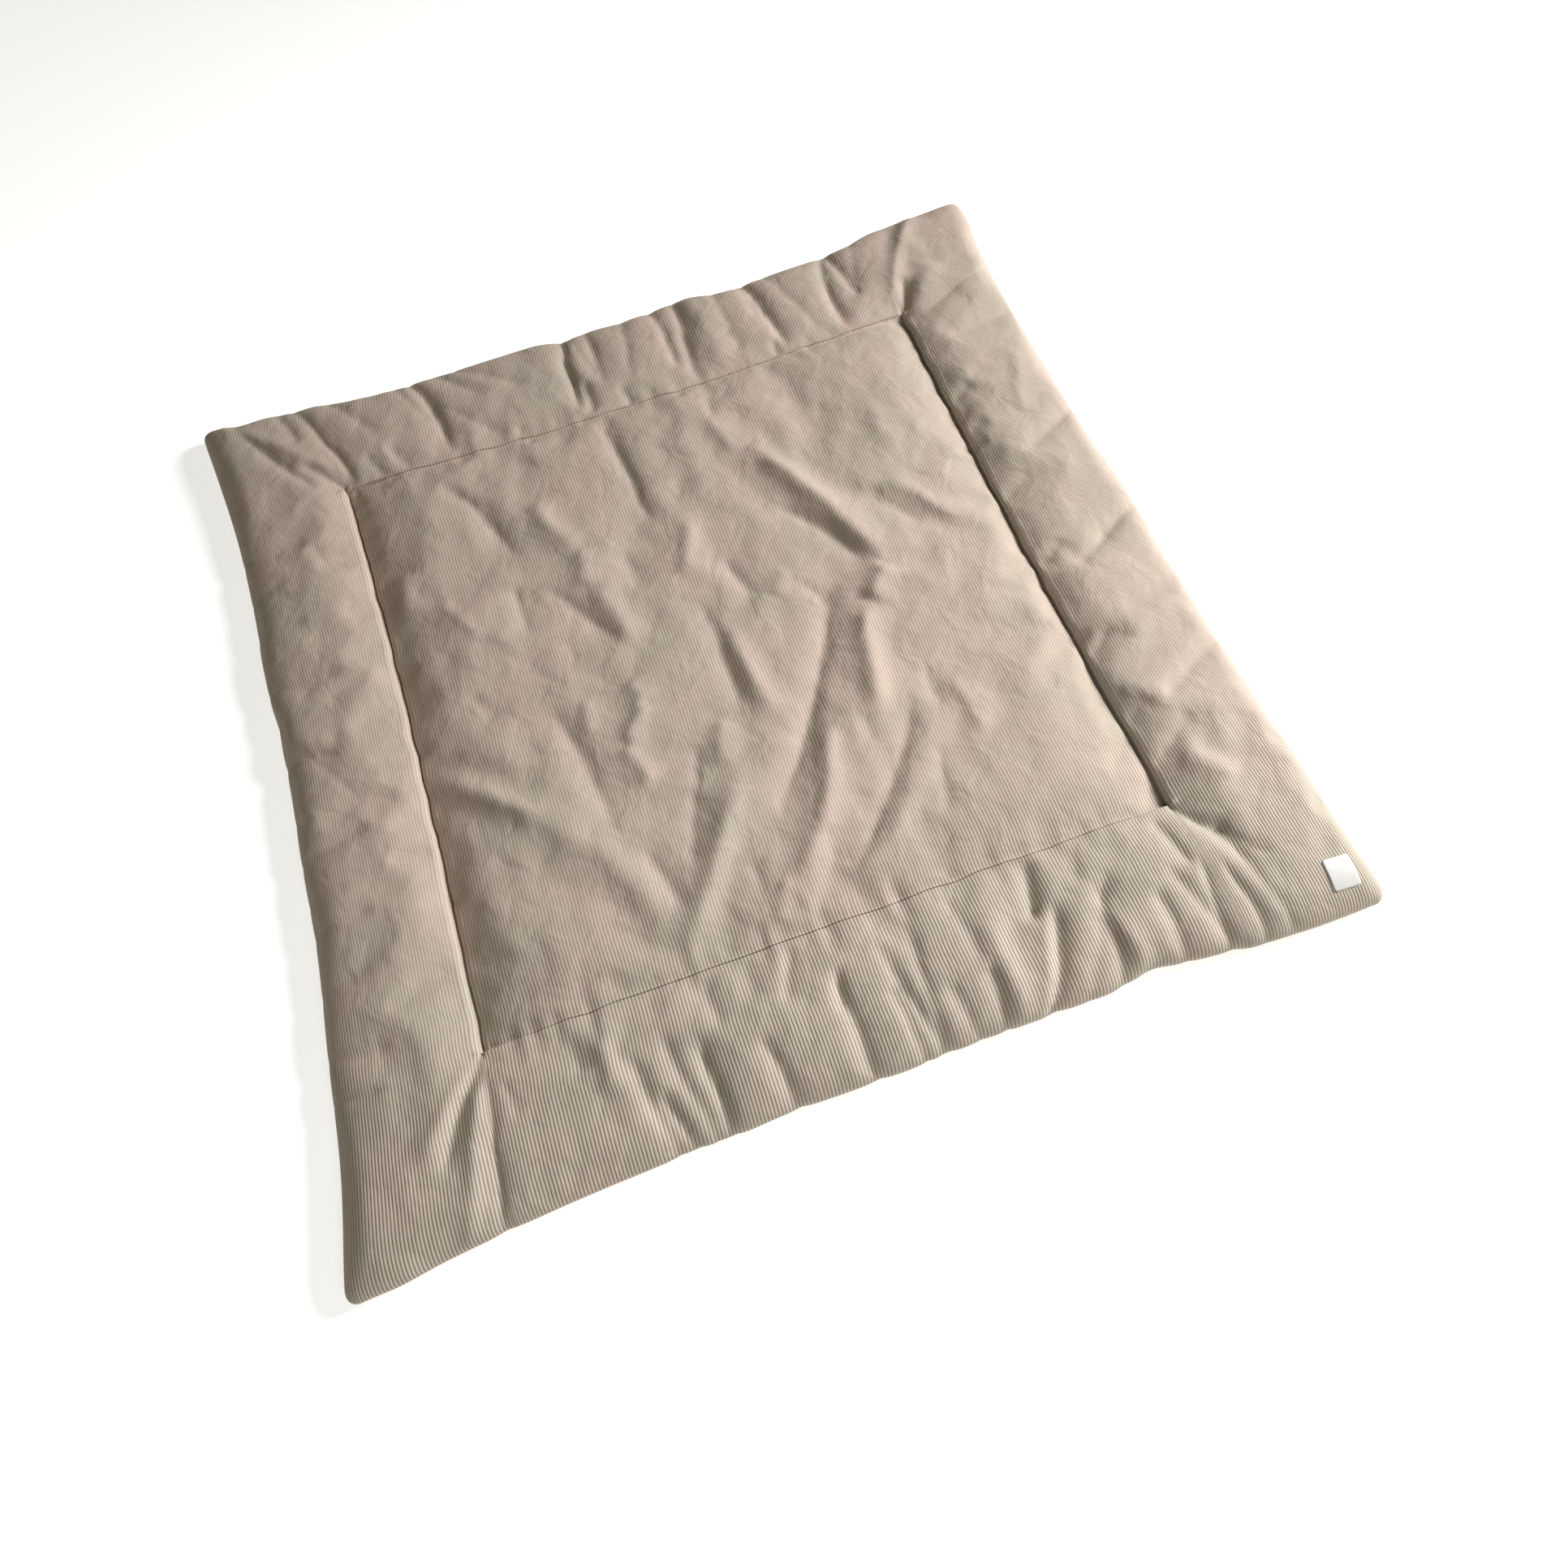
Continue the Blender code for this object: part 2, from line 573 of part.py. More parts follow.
def build_label(mat, material):
    """The corner label, a thin woven patch that follows the mat's surface just above it."""
    surface = BVHTree.FromObject(mat, bpy.context.evaluated_depsgraph_get())
    turn = np.radians(LABEL_TURN_DEGREES)
    mesh = bmesh.new()
    lower = []
    upper = []
    for row in range(LABEL_ROWS + 1):
        lower.append([])
        upper.append([])
        for column in range(LABEL_COLUMNS + 1):
            point = label_outline_point(2.0 * column / LABEL_COLUMNS - 1.0, 2.0 * row / LABEL_ROWS - 1.0)
            x = LABEL_CENTRE[0] + point[0] * np.cos(turn) - point[1] * np.sin(turn)
            y = LABEL_CENTRE[1] + point[0] * np.sin(turn) + point[1] * np.cos(turn)
            ground = surface.ray_cast(Vector((x, y, 1.0)), Vector((0.0, 0.0, -1.0)))[0].z
            lower[-1].append(mesh.verts.new((x, y, ground + LABEL_GAP)))
            upper[-1].append(mesh.verts.new((x, y, ground + LABEL_GAP + LABEL_THICKNESS)))
    for row in range(LABEL_ROWS):
        for column in range(LABEL_COLUMNS):
            for layer in (lower, upper):
                first = (layer[row][column], layer[row][column + 1], layer[row + 1][column + 1])
                second = (layer[row + 1][column + 1], layer[row + 1][column], layer[row][column])
                mesh.faces.new(first)
                mesh.faces.new(second)
    loop = edge_loop(LABEL_COLUMNS + 1, LABEL_ROWS + 1)
    for index, (row, column) in enumerate(loop):
        next_row, next_column = loop[(index + 1) % len(loop)]
        this_side = (upper[row][column], lower[row][column])
        next_side = (lower[next_row][next_column], upper[next_row][next_column])
        mesh.faces.new(this_side + next_side)
    return finish_object("corner_label", mesh, material)


def main():
    """Build the mat and its label."""
    clear_scene()
    corduroy = make_material("corduroy", CORDUROY_COLOUR, CORDUROY_ROUGHNESS)
    woven = make_material("woven_label", LABEL_COLOUR, LABEL_ROUGHNESS)
    mat = build_mat(corduroy)
    bpy.context.view_layer.update()
    build_label(mat, woven)


main()
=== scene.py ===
"""Looks of the baby play mat: its corduroy cover, the stitched square, the corner label and a plain studio.

The cover is one closed sack. Its upper cloth is worked out from a cutting plan, a few rolls of
filling and short tables of the folds. The sewing is made by Geometry Nodes along the line
where the two cloths are held together.
"""

import logging
from dataclasses import dataclass, field
from enum import Enum
from typing import Any, NamedTuple

import bpy
import numpy as np
from mathutils import Matrix, Vector
from mathutils.bvhtree import BVHTree


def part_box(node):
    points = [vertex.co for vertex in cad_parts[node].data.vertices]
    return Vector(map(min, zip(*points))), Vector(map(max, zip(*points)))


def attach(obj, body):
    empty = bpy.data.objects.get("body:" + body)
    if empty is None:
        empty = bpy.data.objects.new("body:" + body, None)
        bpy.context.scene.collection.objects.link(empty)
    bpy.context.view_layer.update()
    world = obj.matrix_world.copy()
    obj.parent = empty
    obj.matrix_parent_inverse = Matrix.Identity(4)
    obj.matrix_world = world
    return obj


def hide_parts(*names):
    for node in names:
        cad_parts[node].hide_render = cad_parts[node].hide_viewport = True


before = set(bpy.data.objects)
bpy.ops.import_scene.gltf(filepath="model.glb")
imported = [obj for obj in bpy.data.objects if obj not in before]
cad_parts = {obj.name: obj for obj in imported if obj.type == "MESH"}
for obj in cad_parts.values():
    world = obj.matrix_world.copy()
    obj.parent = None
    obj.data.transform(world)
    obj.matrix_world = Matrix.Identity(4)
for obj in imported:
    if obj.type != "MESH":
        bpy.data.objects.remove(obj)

logging.basicConfig(level=logging.INFO, format="%(name)s: %(message)s")
log = logging.getLogger("play_mat")

MM = 0.001
PLAN_UNIT = 0.000985


class MatSide(Enum):
    """The mat's four sides, as the camera sees them."""

    LEFT = "left"
    RIGHT = "right"
    FAR = "far"
    NEAR = "near"


class Station(NamedTuple):
    """How far each side draws in from the square, in mm, at a place along it."""

    along: int
    left: float
    right: float
    far: float
    near: float


DRAWN_IN = (
    Station(-500, -3, -5, -5, 6),
    Station(-400, 13, 1, 5, 14),
    Station(-300, 20, 4, 18, 20),
    Station(-200, 27, 8, 20, 22),
    Station(-100, 28, 11, 18, 23),
    Station(0, 30, 10, 22, 20),
    Station(100, 26, 16, 19, 20),
    Station(200, 26, 17, 21, 17),
    Station(300, 23, 17, 14, 16),
    Station(400, 14, 13, -1, 6),
    Station(500, 3, 5, -7, 4),
)


class Dent(NamedTuple):
    """A place where a gather pulls a side in (depth above 0) or lets it out, in mm."""

    side: MatSide
    along: float
    half_width: float
    depth: float


DENTS = (
    Dent(MatSide.FAR, -450, 24, 3),
    Dent(MatSide.FAR, -350, 26, -3),
    Dent(MatSide.FAR, -50, 26, 4),
    Dent(MatSide.FAR, 150, 26, 4),
    Dent(MatSide.FAR, 350, 26, -4),
    Dent(MatSide.NEAR, -450, 26, -2),
    Dent(MatSide.NEAR, -150, 26, -2),
    Dent(MatSide.NEAR, 254, 24, 7),
    Dent(MatSide.NEAR, 350, 26, -2),
    Dent(MatSide.LEFT, 55, 26, 2),
    Dent(MatSide.LEFT, 150, 26, -1),
    Dent(MatSide.RIGHT, -350, 26, -2),
    Dent(MatSide.RIGHT, 450, 26, -3),
)


class SeamSide(NamedTuple):
    """Where one line of the stitched square lies, in mm, at its ends and its middle."""

    end_low: float
    middle: float
    end_high: float


SEAM_SIDES = {
    MatSide.LEFT: SeamSide(-341, -337, -344),
    MatSide.RIGHT: SeamSide(354, 349, 354),
    MatSide.FAR: SeamSide(346, 334, 349),
    MatSide.NEAR: SeamSide(-330, -335, -340),
}


class SideRoll(NamedTuple):
    """How the filling rounds the cloth at one side, in mm: in the panel, and at the rim.

    A fullness below 1 makes the cloth leave its sewn line steeply: the smaller, the steeper.
    fold_share and nick_share say how much of a gather's depth reaches the rim, in height
    and in the outline.
    """

    panel_reach: float
    panel_fullness: float
    rim_reach: float
    rim_fullness: float
    fold_share: float
    nick_share: float


SIDE_ROLLS = {
    MatSide.LEFT: SideRoll(115, 0.60, 42, 0.50, 0.70, 0.16),
    MatSide.RIGHT: SideRoll(115, 0.42, 28, 0.40, 0.60, 0.16),
    MatSide.FAR: SideRoll(80, 0.30, 36, 0.45, 0.45, 0.12),
    MatSide.NEAR: SideRoll(80, 0.30, 42, 0.50, 0.90, 0.38),
}


class Fold(NamedTuple):
    """A soft ridge (rise above 0) or trough (below 0) along a bowed line, in plan units.

    The line runs from (x0, y0) to (x1, y1). Its middle is moved sideways by bow, to the
    left as one goes from the first end to the second. half_width is where the fold has
    fallen to about a third of its rise.
    """

    x0: float
    y0: float
    x1: float
    y1: float
    bow: float
    half_width: float
    rise: float


# Folds of the panel inside the stitched square
PANEL_FOLDS = (
    Fold(-245, 315, -184, 172, 9, 11, -5.0),
    Fold(-196, 145, -190, 70, 0, 11, -3.5),
    Fold(-140, 250, -108, 158, -13, 13, 4.5),
    Fold(-108, 162, -124, 108, 2, 12, 4.0),
    Fold(-300, 210, -312, 132, -4, 18, 4.0),
    Fold(-281, 156, -240, 80, 4, 9, 2.5),
    Fold(-163, 130, -100, 25, 0, 12, -4.0),
    Fold(-112, 112, -86, 15, 0, 12, 3.0),
    Fold(-69, 140, -65, 85, 0, 13, -3.0),
    Fold(-43, 330, -25, 155, 2, 10, -4.5),
    Fold(-272, 34, -248, -14, 0, 10, -2.5),
    Fold(106, 226, 204, 8, 8, 14, 7.0),
    Fold(204, 16, 165, -22, 0, 14, 6.0),
    Fold(166, -16, 127, -160, -8, 14, 6.5),
    Fold(102, 140, 183, 24, 10, 11, -4.5),
    Fold(14, 154, -13, 82, 2, 11, 3.0),
    Fold(34, 95, 58, 26, -4, 10, -3.0),
    Fold(92, 54, 72, 22, 0, 9, 2.0),
    Fold(99, 38, 125, -5, 0, 9, -2.5),
    Fold(239, 129, 305, 34, 0, 10, 3.0),
    Fold(218, 125, 264, 46, -3, 11, -3.0),
    Fold(77, 279, 98, 220, 0, 9, 2.0),
    Fold(90, 320, 88, 278, 0, 8, -2.5),
    Fold(164, 204, 174, 167, 0, 10, -2.0),
    Fold(259, 252, 269, 138, 0, 18, 2.0),
    Fold(16, 215, 18, 185, 0, 12, -2.0),
    Fold(-328, -52, -225, -147, 4, 13, 4.5),
    Fold(-110, -18, -97, -50, 0, 11, 3.5),
    Fold(-97, -46, -133, -90, 0, 11, 4.5),
    Fold(-133, -86, -115, -138, -2, 11, 4.5),
    Fold(-198, -4, -166, -185, 4, 14, -4.5),
    Fold(-155, -20, -166, -66, 0, 9, 2.5),
    Fold(-151, -196, -128, -280, 2, 10, -4.0),
    Fold(-26, -148, -138, -317, 5, 15, 6.0),
    Fold(-77, -156, -110, -240, 0, 12, -3.0),
    Fold(-30, -90, -44, -150, 0, 12, 3.5),
    Fold(-62, -110, -78, -160, 0, 11, -3.0),
    Fold(-47, -246, -52, -294, 0, 9, -2.5),
    Fold(-22, -277, -48, -323, 0, 9, 2.5),
    Fold(-228, -147, -148, -284, 10, 14, 2.5),
    Fold(-311, -135, -299, -265, 0, 22, 2.5),
    Fold(132, 15, -15, -227, 8, 13, -5.0),
    Fold(8, 10, 25, -120, 0, 12, 4.0),
    Fold(-6, 52, -2, -104, 0, 11, -3.5),
    Fold(72, -125, -16, -288, 19, 14, 5.0),
    Fold(167, -140, 41, -299, 8, 10, -3.5),
    Fold(133, -220, 30, -305, 17, 11, 2.5),
    Fold(170, -201, 149, -282, 0, 10, -2.5),
    Fold(210, -128, 224, -214, -3, 11, 3.0),
    Fold(193, -110, 193, -167, -5, 11, -3.0),
    Fold(336, -123, 278, -165, 0, 13, 2.0),
    Fold(30, -246, 28, -288, 0, 10, -2.0),
    Fold(108, 316, 114, 305, 0, 7, -2.0),
    Fold(162, 293, 169, 277, 0, 7, -1.5),
    Fold(205, 258, 209, 236, 0, 8, -1.5),
    Fold(110, -145, 110, -185, 0, 8, -2.0),
    Fold(290, -60, 278, -92, 0, 18, 1.5),
)

# Gathers across the far side of the border
FAR_FOLDS = (
    Fold(-438, 457, -372, 352, -5, 9, -4.5),
    Fold(-404, 486, -388, 428, 0, 9, -4.0),
    Fold(-397, 402, -343, 343, 3, 9, -5.0),
    Fold(-440, 462, -350, 362, 4, 9, 3.0),
    Fold(-372, 450, -330, 343, 4, 9, -4.5),
    Fold(-333, 470, -290, 405, 0, 12, -2.5),
    Fold(-318, 392, -291, 336, 0, 9, -3.0),
    Fold(-290, 394, -264, 338, 0, 9, -3.0),
    Fold(-262, 468, -256, 455, 0, 6, -2.0),
    Fold(-247, 466, -218, 348, 11, 10, -6.5),
    Fold(-197, 460, -155, 412, 0, 9, -2.5),
    Fold(-175, 468, -165, 460, 0, 6, -2.0),
    Fold(-207, 418, -143, 348, -3, 9, -3.0),
    Fold(-137, 362, -122, 325, 0, 6, -2.5),
    Fold(-54, 462, -57, 348, -1, 9, -7.5),
    Fold(-40, 465, -37, 450, 0, 6, -2.0),
    Fold(-41, 396, -43, 345, 0, 6, -4.0),
    Fold(-21, 466, -19, 370, 0, 9, -3.5),
    Fold(-2, 372, 1, 335, 0, 6, -4.0),
    Fold(21, 438, 14, 370, 0, 9, -3.0),
    Fold(64, 468, 72, 366, 3, 10, -6.5),
    Fold(92, 456, 86, 336, 2, 9, -4.5),
    Fold(116, 464, 118, 436, 0, 16, 3.0),
    Fold(140, 410, 152, 366, 0, 12, -2.0),
    Fold(145, 466, 146, 452, 0, 6, -2.0),
    Fold(180, 470, 182, 456, 0, 6, -2.0),
    Fold(190, 464, 208, 350, 1, 10, -7.0),
    Fold(193, 372, 189, 342, 0, 6, -4.0),
    Fold(222, 468, 231, 436, 0, 10, -2.5),
    Fold(294, 462, 283, 346, -5, 11, -7.0),
    Fold(304, 484, 309, 450, 0, 9, -5.0),
    Fold(330, 452, 318, 400, 0, 10, -2.0),
    Fold(402, 458, 350, 364, -4, 10, 4.5),
    Fold(379, 406, 351, 330, 3, 10, -7.0),
)

# Gathers across the near side of the border
NEAR_FOLDS = (
    Fold(-352, -340, -420, -418, 0, 11, 4.0),
    Fold(-350, -345, -402, -432, -3, 9, -6.0),
    Fold(-348, -352, -375, -440, 0, 8, 3.0),
    Fold(-344, -345, -357, -448, 3, 10, -4.5),
    Fold(-331, -368, -324, -408, 0, 6, -2.5),
    Fold(-262, -353, -262, -392, 0, 12, -3.0),
    Fold(-238, -360, -235, -418, 0, 12, 4.0),
    Fold(-216, -383, -206, -449, 0, 9, -4.5),
    Fold(-197, -426, -183, -488, 0, 9, -6.5),
    Fold(-186, -372, -170, -450, 0, 9, -5.0),
    Fold(-152, -390, -148, -476, 0, 9, -7.5),
    Fold(-132, -340, -129, -398, 0, 10, -3.5),
    Fold(-98, -410, -84, -480, 0, 9, -5.5),
    Fold(-88, -343, -90, -386, 0, 9, -2.5),
    Fold(-45, -341, -66, -400, 0, 9, -3.5),
    Fold(-10, -376, -7, -484, -4, 9, -6.5),
    Fold(-10, -378, -19, -425, 0, 5, -3.0),
    Fold(30, -362, 52, -458, 0, 9, -4.5),
    Fold(36, -458, 39, -487, 0, 6, -4.0),
    Fold(68, -356, 63, -450, 0, 9, -4.0),
    Fold(110, -350, 118, -430, 4, 10, -3.5),
    Fold(82, -424, 95, -486, 0, 9, -4.0),
    Fold(122, -466, 121, -490, 0, 7, -5.0),
    Fold(137, -448, 138, -480, 0, 13, 4.0),
    Fold(199, -343, 181, -412, 0, 11, -7.5),
    Fold(196, -388, 157, -480, 8, 7, 3.0),
    Fold(205, -393, 160, -492, 9, 11, -9.0),
    Fold(246, -348, 232, -392, 0, 8, -2.5),
    Fold(272, -376, 228, -450, 0, 10, -2.5),
    Fold(246, -450, 240, -490, 0, 10, -6.0),
    Fold(258, -458, 262, -480, 0, 10, 4.0),
    Fold(299, -413, 306, -480, 1, 10, -5.5),
    Fold(320, -400, 336, -444, 0, 9, -4.0),
    Fold(333, -350, 346, -414, 0, 9, -5.0),
    Fold(352, -343, 397, -394, 0, 10, -4.0),
    Fold(364, -356, 402, -432, 4, 7, -3.5),
    Fold(384, -372, 426, -430, -3, 7, -2.5),
    Fold(356, -400, 352, -488, -3, 7, -3.0),
    Fold(372, -410, 384, -486, 3, 6, -3.5),
    Fold(402, -440, 412, -492, 0, 6, -2.5),
)

# Gathers across the left and the right side of the border
SIDE_FOLDS = (
    Fold(-484, 291, -398, 280, 4, 6, -2.6),
    Fold(-484, 240, -428, 246, -3, 5, -1.8),
    Fold(-484, 189, -414, 180, 3, 6, -2.2),
    Fold(-484, 118, -392, 108, -4, 6, -2.6),
    Fold(-484, 76, -430, 70, 0, 5, -1.8),
    Fold(-482, 22, -410, 12, 3, 7, -4.5),
    Fold(-474, 50, -412, 30, 0, 12, 2.5),
    Fold(-480, -40, -404, -66, -4, 6, -2.0),
    Fold(-482, -97, -396, -80, 4, 6, -2.6),
    Fold(-484, -136, -430, -134, 0, 5, -1.6),
    Fold(-484, -170, -408, -162, -3, 6, -2.4),
    Fold(-488, -232, -420, -226, 3, 6, -2.0),
    Fold(-492, -290, -416, -300, -3, 6, -2.4),
    Fold(-494, -335, -430, -338, 0, 6, -1.8),
    Fold(-400, 280, -386, 236, 3, 6, -1.2),
    Fold(-436, -2, -396, -62, 5, 6, -1.2),
    Fold(358, 194, 390, 216, 0, 11, -3.0),
    Fold(402, 95, 474, 134, 0, 13, -3.5),
    Fold(352, 44, 402, 74, 0, 12, -2.0),
    Fold(424, -44, 484, -12, 0, 12, -3.5),
    Fold(355, -52, 394, -24, 0, 11, -3.0),
    Fold(355, -170, 394, -148, 0, 11, -3.5),
    Fold(398, -242, 486, -198, 0, 14, -3.5),
    Fold(355, -254, 394, -234, 0, 11, -3.0),
    Fold(358, -308, 428, -260, 0, 12, -3.5),
    Fold(398, -162, 474, -136, 0, 15, 3.5),
    Fold(366, -212, 414, -238, 0, 15, 3.0),
    Fold(385, -302, 430, -350, 6, 12, 4.0),
    Fold(358, 343, 428, 412, 0, 16, 4.0),
    Fold(365, 331, 452, 369, 0, 12, -3.0),
    Fold(425, 350, 480, 390, 0, 13, 2.5),
    Fold(395, 288, 470, 304, 0, 12, -2.5),
    Fold(352, 142, 385, 160, 0, 9, -2.0),
    Fold(425, 150, 435, 175, 0, 11, 2.0),
    Fold(450, -30, 475, -15, 0, 7, -2.0),
)

FOLDS = PANEL_FOLDS + FAR_FOLDS + NEAR_FOLDS + SIDE_FOLDS


def srgb(code: str) -> tuple[float, float, float, float]:
    """Turn an sRGB hex colour into the linear colour that a shader takes.

    Args:
        code: Six hex digits, as in "b1a394".

    Returns:
        Linear red, green and blue, with an alpha of 1.
    """
    parts = [int(code[place:place + 2], 16) / 255.0 for place in (0, 2, 4)]
    linear = [part / 12.92 if part <= 0.04045 else ((part + 0.055) / 1.055) ** 2.4 for part in parts]
    return (*linear, 1.0)


def add_node(tree: bpy.types.NodeTree, kind: str, links: dict | None = None, **settings: Any) -> bpy.types.Node:
    """Add a node with its settings and its incoming links.

    Args:
        tree: The node tree that takes the node.
        kind: Blender's name of the node's type.
        links: For each input, by name or number, a socket that feeds it or a value for it.
        **settings: Attributes of the node itself.

    Returns:
        The new node.
    """
    node = tree.nodes.new(kind)
    for name, value in settings.items():
        setattr(node, name, value)
    for socket, value in (links or {}).items():
        if isinstance(value, bpy.types.NodeSocket):
            tree.links.new(value, node.inputs[socket])
        else:
            node.inputs[socket].default_value = value
    return node


def fade(distance: np.ndarray, reach: float) -> np.ndarray:
    """Smooth step from 0 at a line to 1 at its reach.

    Args:
        distance: Distances from the line.
        reach: Where the step is complete.

    Returns:
        Shares from 0 to 1.
    """
    part = np.clip(distance / reach, 0.0, 1.0)
    return part * part * (3.0 - 2.0 * part)


def between(value: np.ndarray, knots: tuple[float, ...], places: tuple[np.ndarray, ...]) -> np.ndarray:
    """Straight interpolation over knots whose places are arrays of their own.

    Args:
        value: Where to read.
        knots: Values at which the places hold.
        places: One array for each knot.

    Returns:
        The place of every value.
    """
    result = places[0].copy()
    for index in range(len(knots) - 1):
        part = np.clip((value - knots[index]) / (knots[index + 1] - knots[index]), 0.0, 1.0)
        result = result + (places[index + 1] - places[index]) * part
    return result


@dataclass(frozen=True)
class Unevenness:
    """Seeded smooth unevenness: blended random heights on a turned lattice, from -1 to 1."""

    seed: int
    cell_across: float
    cell_along: float
    turn: float = 0.35
    lattice: int = 97

    def __call__(self, x: np.ndarray, y: np.ndarray) -> np.ndarray:
        """Read the unevenness.

        Args:
            x: Places across, in metres.
            y: Places along, in metres.

        Returns:
            Heights from -1 to 1.
        """
        heights = np.random.default_rng(self.seed).uniform(-1.0, 1.0, (self.lattice, self.lattice))
        across = (x * np.cos(self.turn) - y * np.sin(self.turn)) / self.cell_across
        along = (x * np.sin(self.turn) + y * np.cos(self.turn)) / self.cell_along
        column = np.floor(across).astype(int)
        row = np.floor(along).astype(int)
        part_x = fade(across - column, 1.0)
        part_y = fade(along - row, 1.0)
        column, row = column % self.lattice, row % self.lattice
        column_next, row_next = (column + 1) % self.lattice, (row + 1) % self.lattice
        low = heights[row, column] * (1.0 - part_x) + heights[row, column_next] * part_x
        high = heights[row_next, column] * (1.0 - part_x) + heights[row_next, column_next] * part_x
        return low * (1.0 - part_y) + high * part_y


@dataclass(frozen=True)
class CuttingPlan:
    """The flat square of cloth, and where its outline and its stitched square lie once filled."""

    half: float = 0.500
    seam_half: float = 0.345
    corner_radius: float = 0.014
    seam_wander: float = 0.0010
    wander_cell: float = 0.024
    wander_seed: int = 61

    def drawn_in(self, side: MatSide, along: np.ndarray) -> np.ndarray:
        """How far a side draws in, in metres.

        Args:
            side: Which side.
            along: Places along the flat side.

        Returns:
            The inset at each place.
        """
        stations = np.array([getattr(row, side.value) for row in DRAWN_IN]) * MM
        step = (DRAWN_IN[1].along - DRAWN_IN[0].along) * MM
        place = np.clip((along - DRAWN_IN[0].along * MM) / step, 0.0, len(stations) - 1.0)
        left = np.minimum(place.astype(int), len(stations) - 2)
        part = place - left
        slopes = np.gradient(stations)
        blend = part * part * (3.0 - 2.0 * part)
        inset = stations[left] * (1.0 - blend) + stations[left + 1] * blend
        inset += slopes[left] * part * (1.0 - part) ** 2
        inset -= slopes[left + 1] * part * part * (1.0 - part)
        for dent in DENTS:
            if dent.side is side:
                reach = (along - dent.along * MM) / (dent.half_width * MM)
                inset += dent.depth * MM * np.exp(-(reach**2))
        return inset

    def seam_line(self, side: MatSide, along: np.ndarray) -> np.ndarray:
        """Place of one line of the stitched square, in metres.

        Args:
            side: Which line.
            along: Places along it.

        Returns:
            How far out the line lies at each place, with its sign.
        """
        line = SEAM_SIDES[side]
        reach = along / self.seam_half
        bend = (line.end_low + line.end_high) / 2.0 - line.middle
        slant = (line.end_high - line.end_low) / 2.0
        seed = self.wander_seed + list(SEAM_SIDES).index(side)
        wander = Unevenness(seed, self.wander_cell, 10.0, turn=0.0)(along, along * 0.0) * self.seam_wander
        return (line.middle + slant * reach + bend * reach * reach) * MM + wander

    def round_corner(self, flat_x: np.ndarray, flat_y: np.ndarray) -> tuple[np.ndarray, np.ndarray]:
        """Pull the flat square's corners in to their small radius.

        Args:
            flat_x: Places across the flat cloth.
            flat_y: Places along the flat cloth.

        Returns:
            The same places with the corners rounded.
        """
        inner = self.half - self.corner_radius
        part_x = np.clip((np.abs(flat_x) - inner) / self.corner_radius, 0.0, 1.0)
        part_y = np.clip((np.abs(flat_y) - inner) / self.corner_radius, 0.0, 1.0)
        in_x = self.corner_radius * part_x * (1.0 - np.sqrt(1.0 - part_y * part_y / 2.0))
        in_y = self.corner_radius * part_y * (1.0 - np.sqrt(1.0 - part_x * part_x / 2.0))
        return flat_x - np.sign(flat_x) * in_x, flat_y - np.sign(flat_y) * in_y

    def lay_out(self, flat_x: np.ndarray, flat_y: np.ndarray) -> tuple[np.ndarray, np.ndarray]:
        """Move points of the flat cloth to where the filled mat lies.

        Args:
            flat_x: Places across the flat cloth.
            flat_y: Places along the flat cloth.

        Returns:
            Places across and along, in metres, before the mat is centred.
        """
        knots = (-self.half, -self.seam_half, self.seam_half, self.half)
        across = between(flat_x, knots, (
            -self.half + self.drawn_in(MatSide.LEFT, flat_y),
            self.seam_line(MatSide.LEFT, flat_y),
            self.seam_line(MatSide.RIGHT, flat_y),
            self.half - self.drawn_in(MatSide.RIGHT, flat_y),
        ))
        along = between(flat_y, knots, (
            -self.half + self.drawn_in(MatSide.NEAR, flat_x),
            self.seam_line(MatSide.NEAR, flat_x),
            self.seam_line(MatSide.FAR, flat_x),
            self.half - self.drawn_in(MatSide.FAR, flat_x),
        ))
        return across, along


